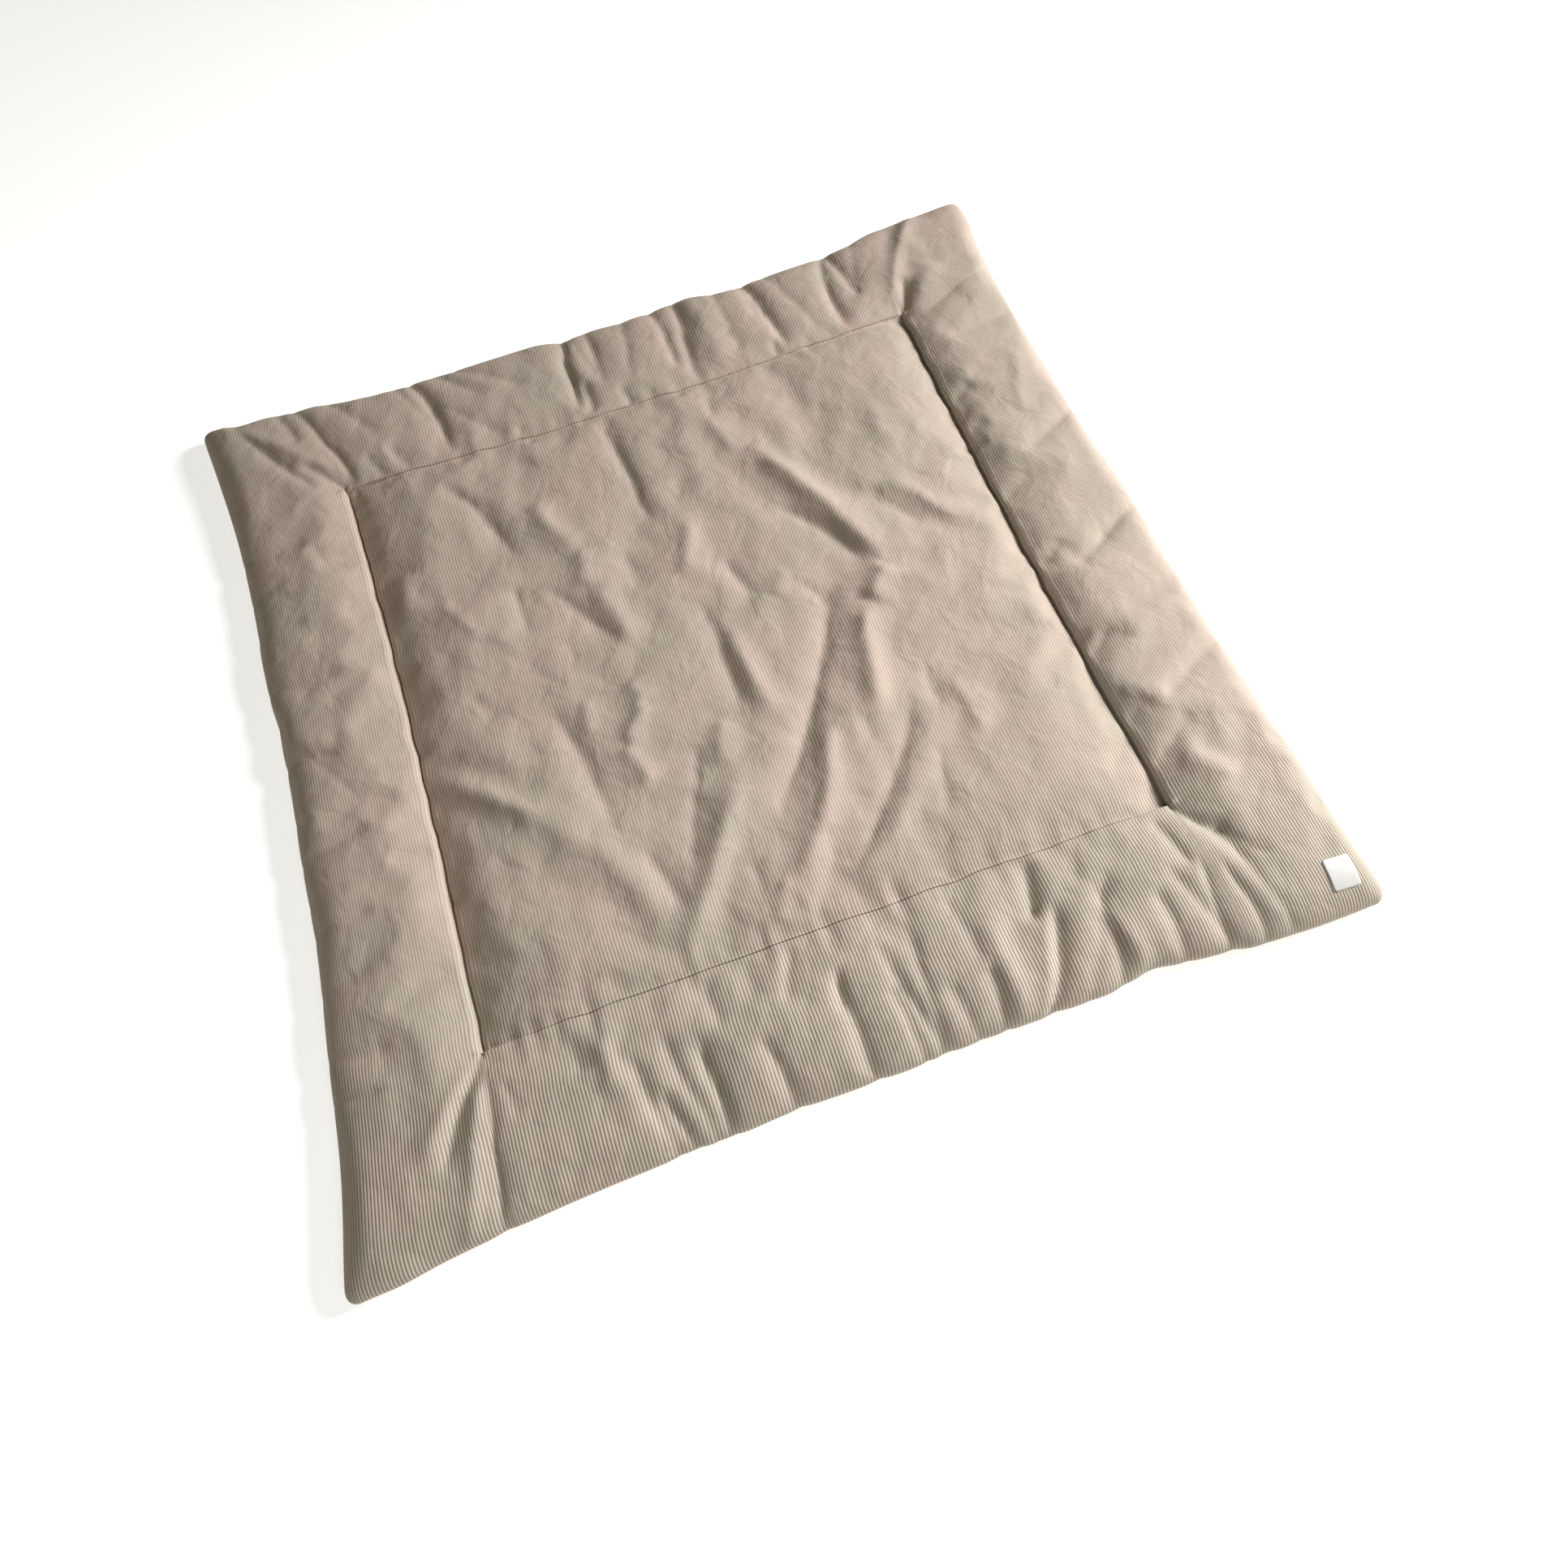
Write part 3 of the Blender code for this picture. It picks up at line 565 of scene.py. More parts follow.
@dataclass(frozen=True)
class FoldCloth:
    """Turns the fold tables into heights. Folds waver a little, and troughs are sharper than ridges."""

    line_steps: int = 10
    end_taper: float = 0.22
    ridge_power: float = 1.7
    trough_power: float = 1.15
    trough_width: float = 0.88
    reach_in_widths: float = 3.2
    waver: float = 0.0022
    waver_seed: int = 11
    waver_cell: float = 0.034
    rim_catch: float = 434.0
    rim_place: float = 496.0
    longest_stretch: float = 62.0

    def stretched(self, end: np.ndarray, other: np.ndarray) -> tuple[np.ndarray, bool]:
        """Carry a fold's end out to the rim where it ends near it, because gathers start in the rim's seam.

        Args:
            end: The end, in plan units.
            other: The fold's other end.

        Returns:
            The end to use, and whether it lies at the rim.
        """
        axis = int(np.abs(end[1]) > np.abs(end[0]))
        if abs(end[axis]) < self.rim_catch:
            return end, False
        towards = (end - other) / np.hypot(*(end - other))
        stretch = (self.rim_place - abs(end[axis])) / max(abs(towards[axis]), 1e-3)
        return end + towards * float(np.clip(stretch, 0.0, self.longest_stretch)), True

    def one(self, fold: Fold, x: np.ndarray, y: np.ndarray) -> np.ndarray:
        """Height of one fold.

        Args:
            fold: The fold.
            x: Places across, one dimension.
            y: Places along, one dimension.

        Returns:
            Its height at each place.
        """
        first, last = np.array((fold.x0, fold.y0)), np.array((fold.x1, fold.y1))
        start, start_at_rim = self.stretched(first, last)
        end, end_at_rim = self.stretched(last, first)
        start, end = start * PLAN_UNIT, end * PLAN_UNIT
        along = end - start
        sideways = np.array((-along[1], along[0])) / np.hypot(*along) * fold.bow * PLAN_UNIT
        nearest = np.full(x.shape, np.inf)
        place = np.zeros(x.shape)
        shares = np.linspace(0.0, 1.0, self.line_steps + 1)
        line = [start + along * share + sideways * 4.0 * share * (1.0 - share) for share in shares]
        for step in range(self.line_steps):
            piece = line[step + 1] - line[step]
            offset_x = x - line[step][0]
            offset_y = y - line[step][1]
            share = np.clip((offset_x * piece[0] + offset_y * piece[1]) / piece.dot(piece), 0.0, 1.0)
            gap = np.hypot(offset_x - piece[0] * share, offset_y - piece[1] * share)
            closer = gap < nearest
            nearest = np.where(closer, gap, nearest)
            place = np.where(closer, (step + share) / self.line_steps, place)
        taper = 1.0 if start_at_rim else fade(place, self.end_taper)
        taper = taper * (1.0 if end_at_rim else fade(1.0 - place, self.end_taper))
        power, width = (self.ridge_power, 1.0) if fold.rise > 0.0 else (self.trough_power, self.trough_width)
        away = nearest / (fold.half_width * width * PLAN_UNIT)
        return fold.rise * PLAN_UNIT * taper * np.exp(-(away**power))

    def heights(self, x: np.ndarray, y: np.ndarray) -> np.ndarray:
        """Height of all the folds together.

        Args:
            x: Places across.
            y: Places along.

        Returns:
            Their height at each place, in the same shape.
        """
        shift_x = Unevenness(self.waver_seed, self.waver_cell, self.waver_cell)(x, y) * self.waver
        shift_y = Unevenness(self.waver_seed + 1, self.waver_cell, self.waver_cell)(x, y) * self.waver
        flat_x = (x + shift_x).ravel()
        flat_y = (y + shift_y).ravel()
        total = np.zeros(flat_x.shape)
        for fold in FOLDS:
            reach = (self.reach_in_widths * fold.half_width + abs(fold.bow) + self.longest_stretch) * PLAN_UNIT
            low_x, high_x = sorted((fold.x0 * PLAN_UNIT, fold.x1 * PLAN_UNIT))
            low_y, high_y = sorted((fold.y0 * PLAN_UNIT, fold.y1 * PLAN_UNIT))
            near = (flat_x > low_x - reach) & (flat_x < high_x + reach)
            near &= (flat_y > low_y - reach) & (flat_y < high_y + reach)
            total[near] += self.one(fold, flat_x[near], flat_y[near])
        return total.reshape(x.shape)


@dataclass(frozen=True)
class Puckers:
    """Short pinches that the stitching pulls into the cloth on both sides of its line."""

    seed: int = 5
    spacing: float = 0.0105
    depth: float = 0.0022
    length: float = 0.018
    start: float = 0.0012

    def heights(self, along: np.ndarray, away: np.ndarray, line: int) -> np.ndarray:
        """Height of the pinches of one line of sewing.

        Args:
            along: Places along the line, in metres.
            away: Distances from the line, in metres.
            line: Which line, so that each has its own pinches.

        Returns:
            Their height at each place.
        """
        pinch = Unevenness(self.seed + line, self.spacing, 10.0, turn=0.0)(along, away * 0.0)
        strength = Unevenness(self.seed + line + 50, self.spacing * 6.0, 10.0, turn=0.0)(along, away * 0.0)
        share = fade(away, self.start) * np.exp(-((away / self.length) ** 1.5))
        return self.depth * pinch * (0.6 + 0.4 * strength) * share


@dataclass(frozen=True)
class FloorCamera:
    """The camera at the photo's viewing angle. The axes are unit vectors in the mat's frame."""

    place: Vector = field(default_factory=lambda: Vector((-0.08303, -0.63223, 1.14715)))
    right: Vector = field(default_factory=lambda: Vector((0.937508, -0.345267, -0.043248)))
    down: Vector = field(default_factory=lambda: Vector((-0.327201, -0.832438, -0.447198)))
    forward: Vector = field(default_factory=lambda: Vector((0.118401, 0.433402, -0.893389)))
    focal_pixels: float = 1480.0
    picture_pixels: float = 1932.0
    shift_right_pixels: float = 26.58
    shift_down_pixels: float = -125.73
    sensor_mm: float = 36.0

    def build(self) -> bpy.types.Object:
        """Make the camera and hand it to the scene.

        Returns:
            The camera object.
        """
        data = bpy.data.cameras.new("photo_camera")
        data.sensor_width = self.sensor_mm
        data.lens = self.sensor_mm * self.focal_pixels / self.picture_pixels
        data.shift_x = -self.shift_right_pixels / self.picture_pixels
        data.shift_y = self.shift_down_pixels / self.picture_pixels
        data.clip_start = 0.05
        data.clip_end = 50.0
        camera = bpy.data.objects.new("photo_camera", data)
        bpy.context.scene.collection.objects.link(camera)
        axes = Matrix((self.right, -self.down, -self.forward)).transposed()
        camera.matrix_world = Matrix.Translation(self.place) @ axes.to_4x4()
        bpy.context.scene.camera = camera
        return camera


@dataclass(frozen=True)
class Corduroy:
    """Cotton corduroy, 8 wales to the inch: cut pile ribs that catch the light, with painted shade in the furrows."""

    wale_pitch: float = 0.00329
    rib_height: float = 0.00038
    rib_mean: float = 0.69
    crisp_below: float = -0.42
    faint_ribs_above: float = -0.20
    faint_rib_share: float = 0.42
    pile_grain: float = 0.0009
    crumple_cell: float = 0.030
    crumple_height: float = 0.0028
    rib_colour: str = "c2b4a4"
    # The furrow colour is painted shade: it darkens the cloth between the ribs, where shade falls.
    furrow_shade_colour: str = "716557"
    rose_tint: str = "c9b2a4"
    moss_tint: str = "b4ad9a"
    tint_patch: float = 0.085
    roughness: float = 0.94
    sheen: float = 0.05

    def build(self) -> bpy.types.Material:
        """Make the material.

        Returns:
            Material that reads the cloth's own UV map, in metres across and along the ribs.
        """
        material = bpy.data.materials.new("cotton_corduroy")
        material.use_nodes = True
        tree = material.node_tree
        tree.nodes.clear()
        cloth = add_node(tree, "ShaderNodeUVMap", uv_map="cloth")
        place = add_node(tree, "ShaderNodeTexCoord")
        wander = add_node(tree, "ShaderNodeTexNoise", {
            "Vector": cloth.outputs[0], "Scale": 0.35 / self.wale_pitch / 6.0, "Detail": 1.0})
        wander_shift = add_node(tree, "ShaderNodeMath", {
            0: wander.outputs["Fac"], 1: self.wale_pitch * 0.22}, operation="MULTIPLY")
        split = add_node(tree, "ShaderNodeSeparateXYZ", {0: cloth.outputs[0]})
        across = add_node(tree, "ShaderNodeMath", {
            0: split.outputs["X"], 1: wander_shift.outputs[0]}, operation="ADD")
        turns = add_node(tree, "ShaderNodeMath", {
            0: across.outputs[0], 1: np.pi / self.wale_pitch}, operation="MULTIPLY")
        wave = add_node(tree, "ShaderNodeMath", {0: turns.outputs[0]}, operation="SINE")
        arch = add_node(tree, "ShaderNodeMath", {0: wave.outputs[0]}, operation="ABSOLUTE")
        crown = add_node(tree, "ShaderNodeMath", {0: arch.outputs[0], 1: 0.75}, operation="POWER")
        spot = add_node(tree, "ShaderNodeSeparateXYZ", {0: place.outputs["Object"]})
        # The rib pattern, with its painted furrow shade and its relief, is at full strength near the near rim and
        # fainter over the rest of the mat.
        crispness = add_node(tree, "ShaderNodeMapRange", {
            "Value": spot.outputs["Y"], "From Min": self.crisp_below, "From Max": self.faint_ribs_above,
            "To Min": 1.0, "To Max": self.faint_rib_share}, interpolation_type="SMOOTHSTEP")
        from_mean = add_node(tree, "ShaderNodeMath", {
            0: crown.outputs[0], 1: self.rib_mean}, operation="SUBTRACT")
        rib = add_node(tree, "ShaderNodeMath", {
            0: from_mean.outputs[0], 1: crispness.outputs[0], 2: self.rib_mean}, operation="MULTIPLY_ADD")

        tint = add_node(tree, "ShaderNodeTexNoise", {
            "Vector": place.outputs["Object"], "Scale": 1.0 / self.tint_patch, "Detail": 2.0})
        tint_patches = add_node(tree, "ShaderNodeMapRange", {
            "Value": tint.outputs["Fac"], "From Min": 0.36, "From Max": 0.64})
        # Painted light: the tint runs from greener on the near side to rosier on the far side, as the light's colour
        # changes over the mat. The noise patches added to it are the cloth's own uneven tone.
        painted_light_tint = add_node(tree, "ShaderNodeMapRange", {
            "Value": spot.outputs["Y"], "From Min": self.crisp_below, "From Max": self.faint_ribs_above,
            "To Min": -0.45, "To Max": 0.15})
        tint_share = add_node(tree, "ShaderNodeMath", {
            0: tint_patches.outputs[0], 1: painted_light_tint.outputs[0]}, operation="ADD", use_clamp=True)
        tints = add_node(tree, "ShaderNodeMix", {
            0: tint_share.outputs[0], 6: srgb(self.moss_tint), 7: srgb(self.rose_tint)}, data_type="RGBA")
        rib_tone = add_node(tree, "ShaderNodeMix", {
            0: 0.55, 6: srgb(self.rib_colour), 7: tints.outputs[2]}, data_type="RGBA")
        # Painted shade: the cloth is mixed towards the dark furrow colour between the ribs.
        ribbed = add_node(tree, "ShaderNodeMix", {
            0: rib.outputs[0], 6: srgb(self.furrow_shade_colour), 7: rib_tone.outputs[2]}, data_type="RGBA")

        grain = add_node(tree, "ShaderNodeTexNoise", {
            "Vector": cloth.outputs[0], "Scale": 1.0 / self.pile_grain, "Detail": 2.0, "Roughness": 0.6})
        grain_share = add_node(tree, "ShaderNodeMapRange", {
            "Value": grain.outputs["Fac"], "From Min": 0.2, "From Max": 0.8, "To Min": 0.95, "To Max": 1.05})
        grained = add_node(tree, "ShaderNodeVectorMath", {
            0: ribbed.outputs[2], 3: grain_share.outputs[0]}, operation="SCALE")

        grain_relief = add_node(tree, "ShaderNodeMath", {
            0: grain.outputs["Fac"], 1: 0.07}, operation="MULTIPLY")
        relief = add_node(tree, "ShaderNodeMath", {
            0: rib.outputs[0], 1: grain_relief.outputs[0]}, operation="ADD")
        crumple = add_node(tree, "ShaderNodeTexNoise", {
            "Vector": place.outputs["Object"], "Scale": 1.0 / self.crumple_cell, "Detail": 2.0, "Roughness": 0.45,
            "Distortion": 0.4})
        soft_bump = add_node(tree, "ShaderNodeBump", {
            "Height": crumple.outputs["Fac"], "Distance": self.crumple_height, "Strength": 1.0})
        bump = add_node(tree, "ShaderNodeBump", {
            "Height": relief.outputs[0], "Distance": self.rib_height, "Strength": 1.0,
            "Normal": soft_bump.outputs[0]})
        shader = add_node(tree, "ShaderNodeBsdfPrincipled", {
            "Base Color": grained.outputs[0], "Normal": bump.outputs[0], "Roughness": self.roughness,
            "Specular IOR Level": 0.25, "Sheen Weight": self.sheen, "Sheen Roughness": 0.45,
            "Sheen Tint": srgb("f3e7da")})
        add_node(tree, "ShaderNodeOutputMaterial", {"Surface": shader.outputs[0]})
        return material


@dataclass(frozen=True)
class SewingThread:
    """Spun polyester thread, a darker taupe than the cloth: a soft twisted line with little gloss."""

    colour: str = "6a584a"
    shadow_colour: str = "4e4137"
    twist_pitch: float = 0.0008
    roughness: float = 0.6

    def build(self) -> bpy.types.Material:
        """Make the material.

        Returns:
            Material that reads Object coordinates.
        """
        material = bpy.data.materials.new("spun_polyester_thread")
        material.use_nodes = True
        tree = material.node_tree
        tree.nodes.clear()
        place = add_node(tree, "ShaderNodeTexCoord")
        twist = add_node(tree, "ShaderNodeTexWave", {
            "Vector": place.outputs["Object"], "Scale": 1.0 / self.twist_pitch / 20.0, "Distortion": 1.5})
        tone = add_node(tree, "ShaderNodeMix", {
            0: twist.outputs["Fac"], 6: srgb(self.shadow_colour), 7: srgb(self.colour)}, data_type="RGBA")
        shader = add_node(tree, "ShaderNodeBsdfPrincipled", {
            "Base Color": tone.outputs[2], "Roughness": self.roughness})
        add_node(tree, "ShaderNodeOutputMaterial", {"Surface": shader.outputs[0]})
        return material


@dataclass(frozen=True)
class WovenTape:
    """Off-white woven satin label tape: fine threads both ways, smooth, with a faint sheen."""

    colour: str = "d6d5cf"
    shade_colour: str = "b9b8b1"
    thread_pitch: float = 0.0005
    relief: float = 0.00006
    roughness: float = 0.55

    def build(self) -> bpy.types.Material:
        """Make the material.

        Returns:
            Material that reads the label's own UV map, in metres.
        """
        material = bpy.data.materials.new("woven_satin_tape")
        material.use_nodes = True
        tree = material.node_tree
        tree.nodes.clear()
        cloth = add_node(tree, "ShaderNodeUVMap", uv_map="cloth")
        split = add_node(tree, "ShaderNodeSeparateXYZ", {0: cloth.outputs[0]})
        threads = []
        for axis in ("X", "Y"):
            turns = add_node(tree, "ShaderNodeMath", {
                0: split.outputs[axis], 1: 2.0 * np.pi / self.thread_pitch}, operation="MULTIPLY")
            threads.append(add_node(tree, "ShaderNodeMath", {0: turns.outputs[0]}, operation="SINE"))
        crossing = add_node(tree, "ShaderNodeMath", {
            0: threads[0].outputs[0], 1: threads[1].outputs[0]}, operation="MULTIPLY")
        weave = add_node(tree, "ShaderNodeMapRange", {
            "Value": crossing.outputs[0], "From Min": -1.0, "From Max": 1.0})
        tone = add_node(tree, "ShaderNodeMix", {
            0: weave.outputs[0], 6: srgb(self.shade_colour), 7: srgb(self.colour)}, data_type="RGBA")
        bump = add_node(tree, "ShaderNodeBump", {"Height": weave.outputs[0], "Distance": self.relief})
        shader = add_node(tree, "ShaderNodeBsdfPrincipled", {
            "Base Color": tone.outputs[2], "Normal": bump.outputs[0], "Roughness": self.roughness,
            "Sheen Weight": 0.1})
        add_node(tree, "ShaderNodeOutputMaterial", {"Surface": shader.outputs[0]})
        return material


def plain_material(name: str, code: str, roughness: float) -> bpy.types.Material:
    """A plain painted surface for the studio.

    Args:
        name: The material's name.
        code: Its sRGB hex colour.
        roughness: From 0, polished, to 1, matt.

    Returns:
        The material.
    """
    material = bpy.data.materials.new(name)
    material.use_nodes = True
    shader = material.node_tree.nodes["Principled BSDF"]
    shader.inputs["Base Color"].default_value = srgb(code)
    shader.inputs["Roughness"].default_value = roughness
    return material


def mesh_object(
    name: str,
    points: np.ndarray,
    faces: list[list[int]],
    corners_uv: np.ndarray,
    material: bpy.types.Material,
) -> bpy.types.Object:
    """Make a smooth shaded mesh object with a UV map in metres.

    Args:
        name: The object's name.
        points: Vertices, one row each.
        faces: Vertex numbers of each face, anticlockwise from outside.
        corners_uv: UV of each face corner, in the faces' order.
        material: Its finish.

    Returns:
        The object, at the origin.
    """
    data = bpy.data.meshes.new(name)
    data.from_pydata(points.tolist(), [], faces)
    layer = data.uv_layers.new(name="cloth")
    layer.data.foreach_set("uv", corners_uv.astype(np.float32).ravel())
    data.materials.append(material)
    data.shade_smooth()
    data.validate()
    item = bpy.data.objects.new(name, data)
    bpy.context.scene.collection.objects.link(item)
    return item


@dataclass(frozen=True)
class Settling:
    """A short cloth simulation: cloth cut a little too large settles on the filling between its seams."""

    frames: int = 14
    quality: int = 5
    least_extra_cloth: float = 0.004
    most_extra_cloth: float = 0.013
    filling_hold: float = 0.05
    pin_stiffness: float = 5.0
    pressure: float = 0.4
    tension: float = 15.0
    bending: float = 6.0
    vertex_mass: float = 0.3
    cap: float = 0.012

    def settle(
        self, start: np.ndarray, sewn: np.ndarray, slack: np.ndarray, faces: list[list[int]]
    ) -> np.ndarray:
        """Let the cloth settle.

        Args:
            start: Where the points are at first, with the folds from the tables.
            sewn: 1 for each point that sewing holds.
            slack: How much of the extra cloth each point has, from 0 to 1.
            faces: Vertex numbers of each face.

        Returns:
            How far each point moves.
        """
        data = bpy.data.meshes.new("settling")
        data.from_pydata(start.tolist(), [], faces)
        item = bpy.data.objects.new("settling", data)
        bpy.context.scene.collection.objects.link(item)
        group = item.vertex_groups.new(name="held")
        for share in (1.0, self.filling_hold):
            chosen = np.flatnonzero((sewn > 0.5) == (share == 1.0))
            group.add(chosen.tolist(), share, "REPLACE")
        loose = item.vertex_groups.new(name="slack")
        for index, share in enumerate(slack):
            loose.add((index,), float(share), "REPLACE")
        modifier = item.modifiers.new("cloth", "CLOTH")
        cloth = modifier.settings
        cloth.quality = self.quality
        cloth.mass = self.vertex_mass
        cloth.tension_stiffness = self.tension
        cloth.compression_stiffness = self.tension
        cloth.shear_stiffness = self.tension / 3.0
        cloth.bending_stiffness = self.bending
        cloth.vertex_group_mass = group.name
        cloth.pin_stiffness = self.pin_stiffness
        cloth.shrink_min = -self.least_extra_cloth
        cloth.shrink_max = -self.most_extra_cloth
        cloth.vertex_group_shrink = loose.name
        cloth.effector_weights.gravity = 0.0
        cloth.use_pressure = self.pressure > 0.0
        cloth.uniform_pressure_force = self.pressure
        modifier.collision_settings.use_collision = False
        modifier.point_cache.frame_end = self.frames
        scene = bpy.context.scene
        for number in range(1, self.frames + 1):
            scene.frame_set(number)
        depsgraph = bpy.context.evaluated_depsgraph_get()
        settled = np.zeros(start.size)
        item.evaluated_get(depsgraph).data.vertices.foreach_get("co", settled)
        settled = settled.reshape(-1, 3)
        scene.frame_set(1)
        bpy.data.objects.remove(item)
        moved = settled - start
        length = np.maximum(np.linalg.norm(moved, axis=1, keepdims=True), 1e-9)
        log.info("settling moved the cloth by up to %.1f mm, on average %.2f mm", length.max() / MM, length.mean() / MM)
        return moved / length * self.cap * np.tanh(length / self.cap)


@dataclass
class PaddedMat:
    """The filled mat: two squares of corduroy sewn together, turned, filled and quilted once."""

    plan: CuttingPlan = field(default_factory=CuttingPlan)
    folds: FoldCloth = field(default_factory=FoldCloth)
    puckers: Puckers = field(default_factory=Puckers)
    edge_height: float = 0.010
    channel_height: float = 0.014
    border_loft: float = 0.022
    panel_loft: float = 0.0195
    roll_sharpness: float = 2.2
    border_roll: float = 0.070
    wall_share: float = 0.50
    wall_width: float = 0.0013
    end_lift: float = 0.0045
    end_lift_reach: float = 0.017
    end_lift_fade: float = 0.080
    side_pinch: float = 0.74
    end_pinch: float = 0.70
    pinch_reach: float = 0.006
    side_sink: float = 0.0045
    end_sink: float = -0.0045
    sink_reach: float = 0.0035
    seam_fade: float = 0.007
    edge_fade: float = 0.013
    lump_height: float = 0.0012
    lump_size: float = 0.070
    crumple_height: float = 0.0007
    crumple_size: float = 0.022
    finest_step: float = 0.0011
    step_growth: float = 0.13
    widest_step: float = 0.0040
    settling_step: float = 0.005
    border_slack: float = 0.06
    far_slack: float = 0.40
    under_step: int = 3
    under_roll: float = 0.016
    under_channel_half: float = 0.014
    under_channel_depth: float = 0.0035
    under_hollow: float = 0.0011

    def steps_from(self, length: float, both_ends: bool) -> np.ndarray:
        """Places of mesh lines along a stretch, close together at its sewn ends.

        Args:
            length: The stretch's length.
            both_ends: Whether its far end is sewn too.

        Returns:
            Places from 0 to length.
        """
        places = [0.0]
        while places[-1] < length:
            here = places[-1]
            sewn = min(here, length - here) if both_ends else here
            places.append(here + min(self.finest_step + self.step_growth * max(sewn, 0.0), self.widest_step))
        return np.array(places) * length / places[-1]

    def lines(self) -> np.ndarray:
        """Places of the mesh's lines across the flat cloth, the stitched lines among them."""
        panel = self.steps_from(self.plan.seam_half, both_ends=False)
        border = self.steps_from(self.plan.half - self.plan.seam_half, both_ends=True)
        inner = self.plan.seam_half - panel
        outer = self.plan.seam_half + border[1:]
        half = np.concatenate((inner[::-1], outer))
        return np.concatenate((-half[:0:-1], half))

    def roll(self, distance: np.ndarray, reach: float, fullness: float) -> np.ndarray:
        """Rounded rise of filled cloth away from a sewn line.

        Args:
            distance: Distances from the line.
            reach: Where the cloth is level.
            fullness: How steeply the cloth leaves the line: the smaller, the steeper.

        Returns:
            Shares of the full rise.
        """
        part = 1.0 - np.clip(distance / reach, 0.0, 1.0)
        return (1.0 - part**self.roll_sharpness) ** fullness

    def border_rise(self, outside: np.ndarray) -> np.ndarray:
        """Rise of the border from the stitched square: a steep wall at the sewing, then a gentle slope.

        Args:
            outside: Distances outside the stitched square.

        Returns:
            Shares of the full rise.
        """
        wall = 1.0 - np.exp(-outside / self.wall_width)
        return self.wall_share * wall + (1.0 - self.wall_share) * self.roll(outside, self.border_roll, 1.0)

    def by_sides(self, flat_x: np.ndarray, flat_y: np.ndarray, column: str) -> np.ndarray:
        """Read a column of the rolls table for the side that each point is nearest to.

        Args:
            flat_x: Places across the flat cloth.
            flat_y: Places along the flat cloth.
            column: The table's column.

        Returns:
            The value at each place.
        """
        values = {side: getattr(roll, column) for side, roll in SIDE_ROLLS.items()}
        across = np.where(flat_x < 0.0, values[MatSide.LEFT], values[MatSide.RIGHT])
        along = np.where(flat_y < 0.0, values[MatSide.NEAR], values[MatSide.FAR])
        return np.where(np.abs(flat_x) > np.abs(flat_y), across, along)

    def rounding(self, flat_x: np.ndarray, flat_y: np.ndarray) -> tuple[np.ndarray, np.ndarray]:
        """How full the panel and the border are, after the rolls at all four sides.

        Args:
            flat_x: Places across the flat cloth.
            flat_y: Places along the flat cloth.

        Returns:
            Shares of the panel's loft and of the border's.
        """
        out_x = np.maximum(np.abs(flat_x) - self.plan.seam_half, 0.0)
        out_y = np.maximum(np.abs(flat_y) - self.plan.seam_half, 0.0)
        panel = np.ones(flat_x.shape)
        border = self.border_rise(np.hypot(out_x, out_y))
        reaches = {
            MatSide.LEFT: -flat_x, MatSide.RIGHT: flat_x, MatSide.FAR: flat_y, MatSide.NEAR: -flat_y,
        }
        for side, towards in reaches.items():
            roll = SIDE_ROLLS[side]
            from_line = np.maximum(self.plan.seam_half - towards, 0.0)
            panel = panel * self.roll(from_line, roll.panel_reach * MM, roll.panel_fullness)
            border = border * self.roll(self.plan.half - towards, roll.rim_reach * MM, roll.rim_fullness)
        return panel, border

    def top_points(self, flat_x: np.ndarray, flat_y: np.ndarray) -> tuple[np.ndarray, np.ndarray, np.ndarray]:
        """Where the upper cloth lies.

        Args:
            flat_x: Places across the flat cloth.
            flat_y: Places along the flat cloth.

        Returns:
            Places across, along and up, in metres, before the mat is centred.
        """
        plan = self.plan
        x, y = plan.lay_out(*plan.round_corner(flat_x, flat_y))
        to_side = plan.half - np.abs(flat_x)
        to_end = plan.half - np.abs(flat_y)
        to_edge = np.minimum(to_side, to_end)
        out_x = np.abs(flat_x) - plan.seam_half
        out_y = np.abs(flat_y) - plan.seam_half
        outside = np.hypot(np.maximum(out_x, 0.0), np.maximum(out_y, 0.0))
        inside = np.maximum(-np.maximum(out_x, out_y), 0.0)
        in_panel = (out_x <= 0.0) & (out_y <= 0.0)
        from_seam = outside + inside

        all_folds = self.folds.heights(x, y)
        folds = all_folds * fade(from_seam, self.seam_fade)
        fold_share = self.by_sides(flat_x, flat_y, "fold_share")
        folds = folds * (fold_share + (1.0 - fold_share) * fade(to_edge, self.edge_fade))

        panel, border = self.rounding(flat_x, flat_y)
        rise = self.channel_height - self.edge_height
        rest = self.edge_height + rise * fade(to_edge, plan.half - plan.seam_half)
        height = np.where(in_panel, self.channel_height + self.panel_loft * panel, rest + self.border_loft * border)
        soft = np.where(in_panel, panel, border)
        lump = Unevenness(3, self.lump_size, self.lump_size * 1.4)(x, y) * self.lump_height
        lump += Unevenness(4, self.crumple_size, self.crumple_size * 2.2, turn=0.1)(x, y) * self.crumple_height
        height = height + folds * np.sqrt(soft) + lump * soft
        height = height + self.seam_puckers(flat_x, flat_y, out_x, out_y)
        height = np.maximum(height, self.edge_height)
        by_side, by_end = self.seam_shares(out_x, out_y)
        height = height - self.side_sink * by_side * np.exp(-((out_x / self.sink_reach) ** 2))
        height = height - self.end_sink * by_end * np.exp(-((out_y / self.sink_reach) ** 2))
        lift = self.end_lift * fade(-out_x, self.end_lift_fade)
        height = height + lift * np.exp(-((out_y / self.end_lift_reach) ** 2))

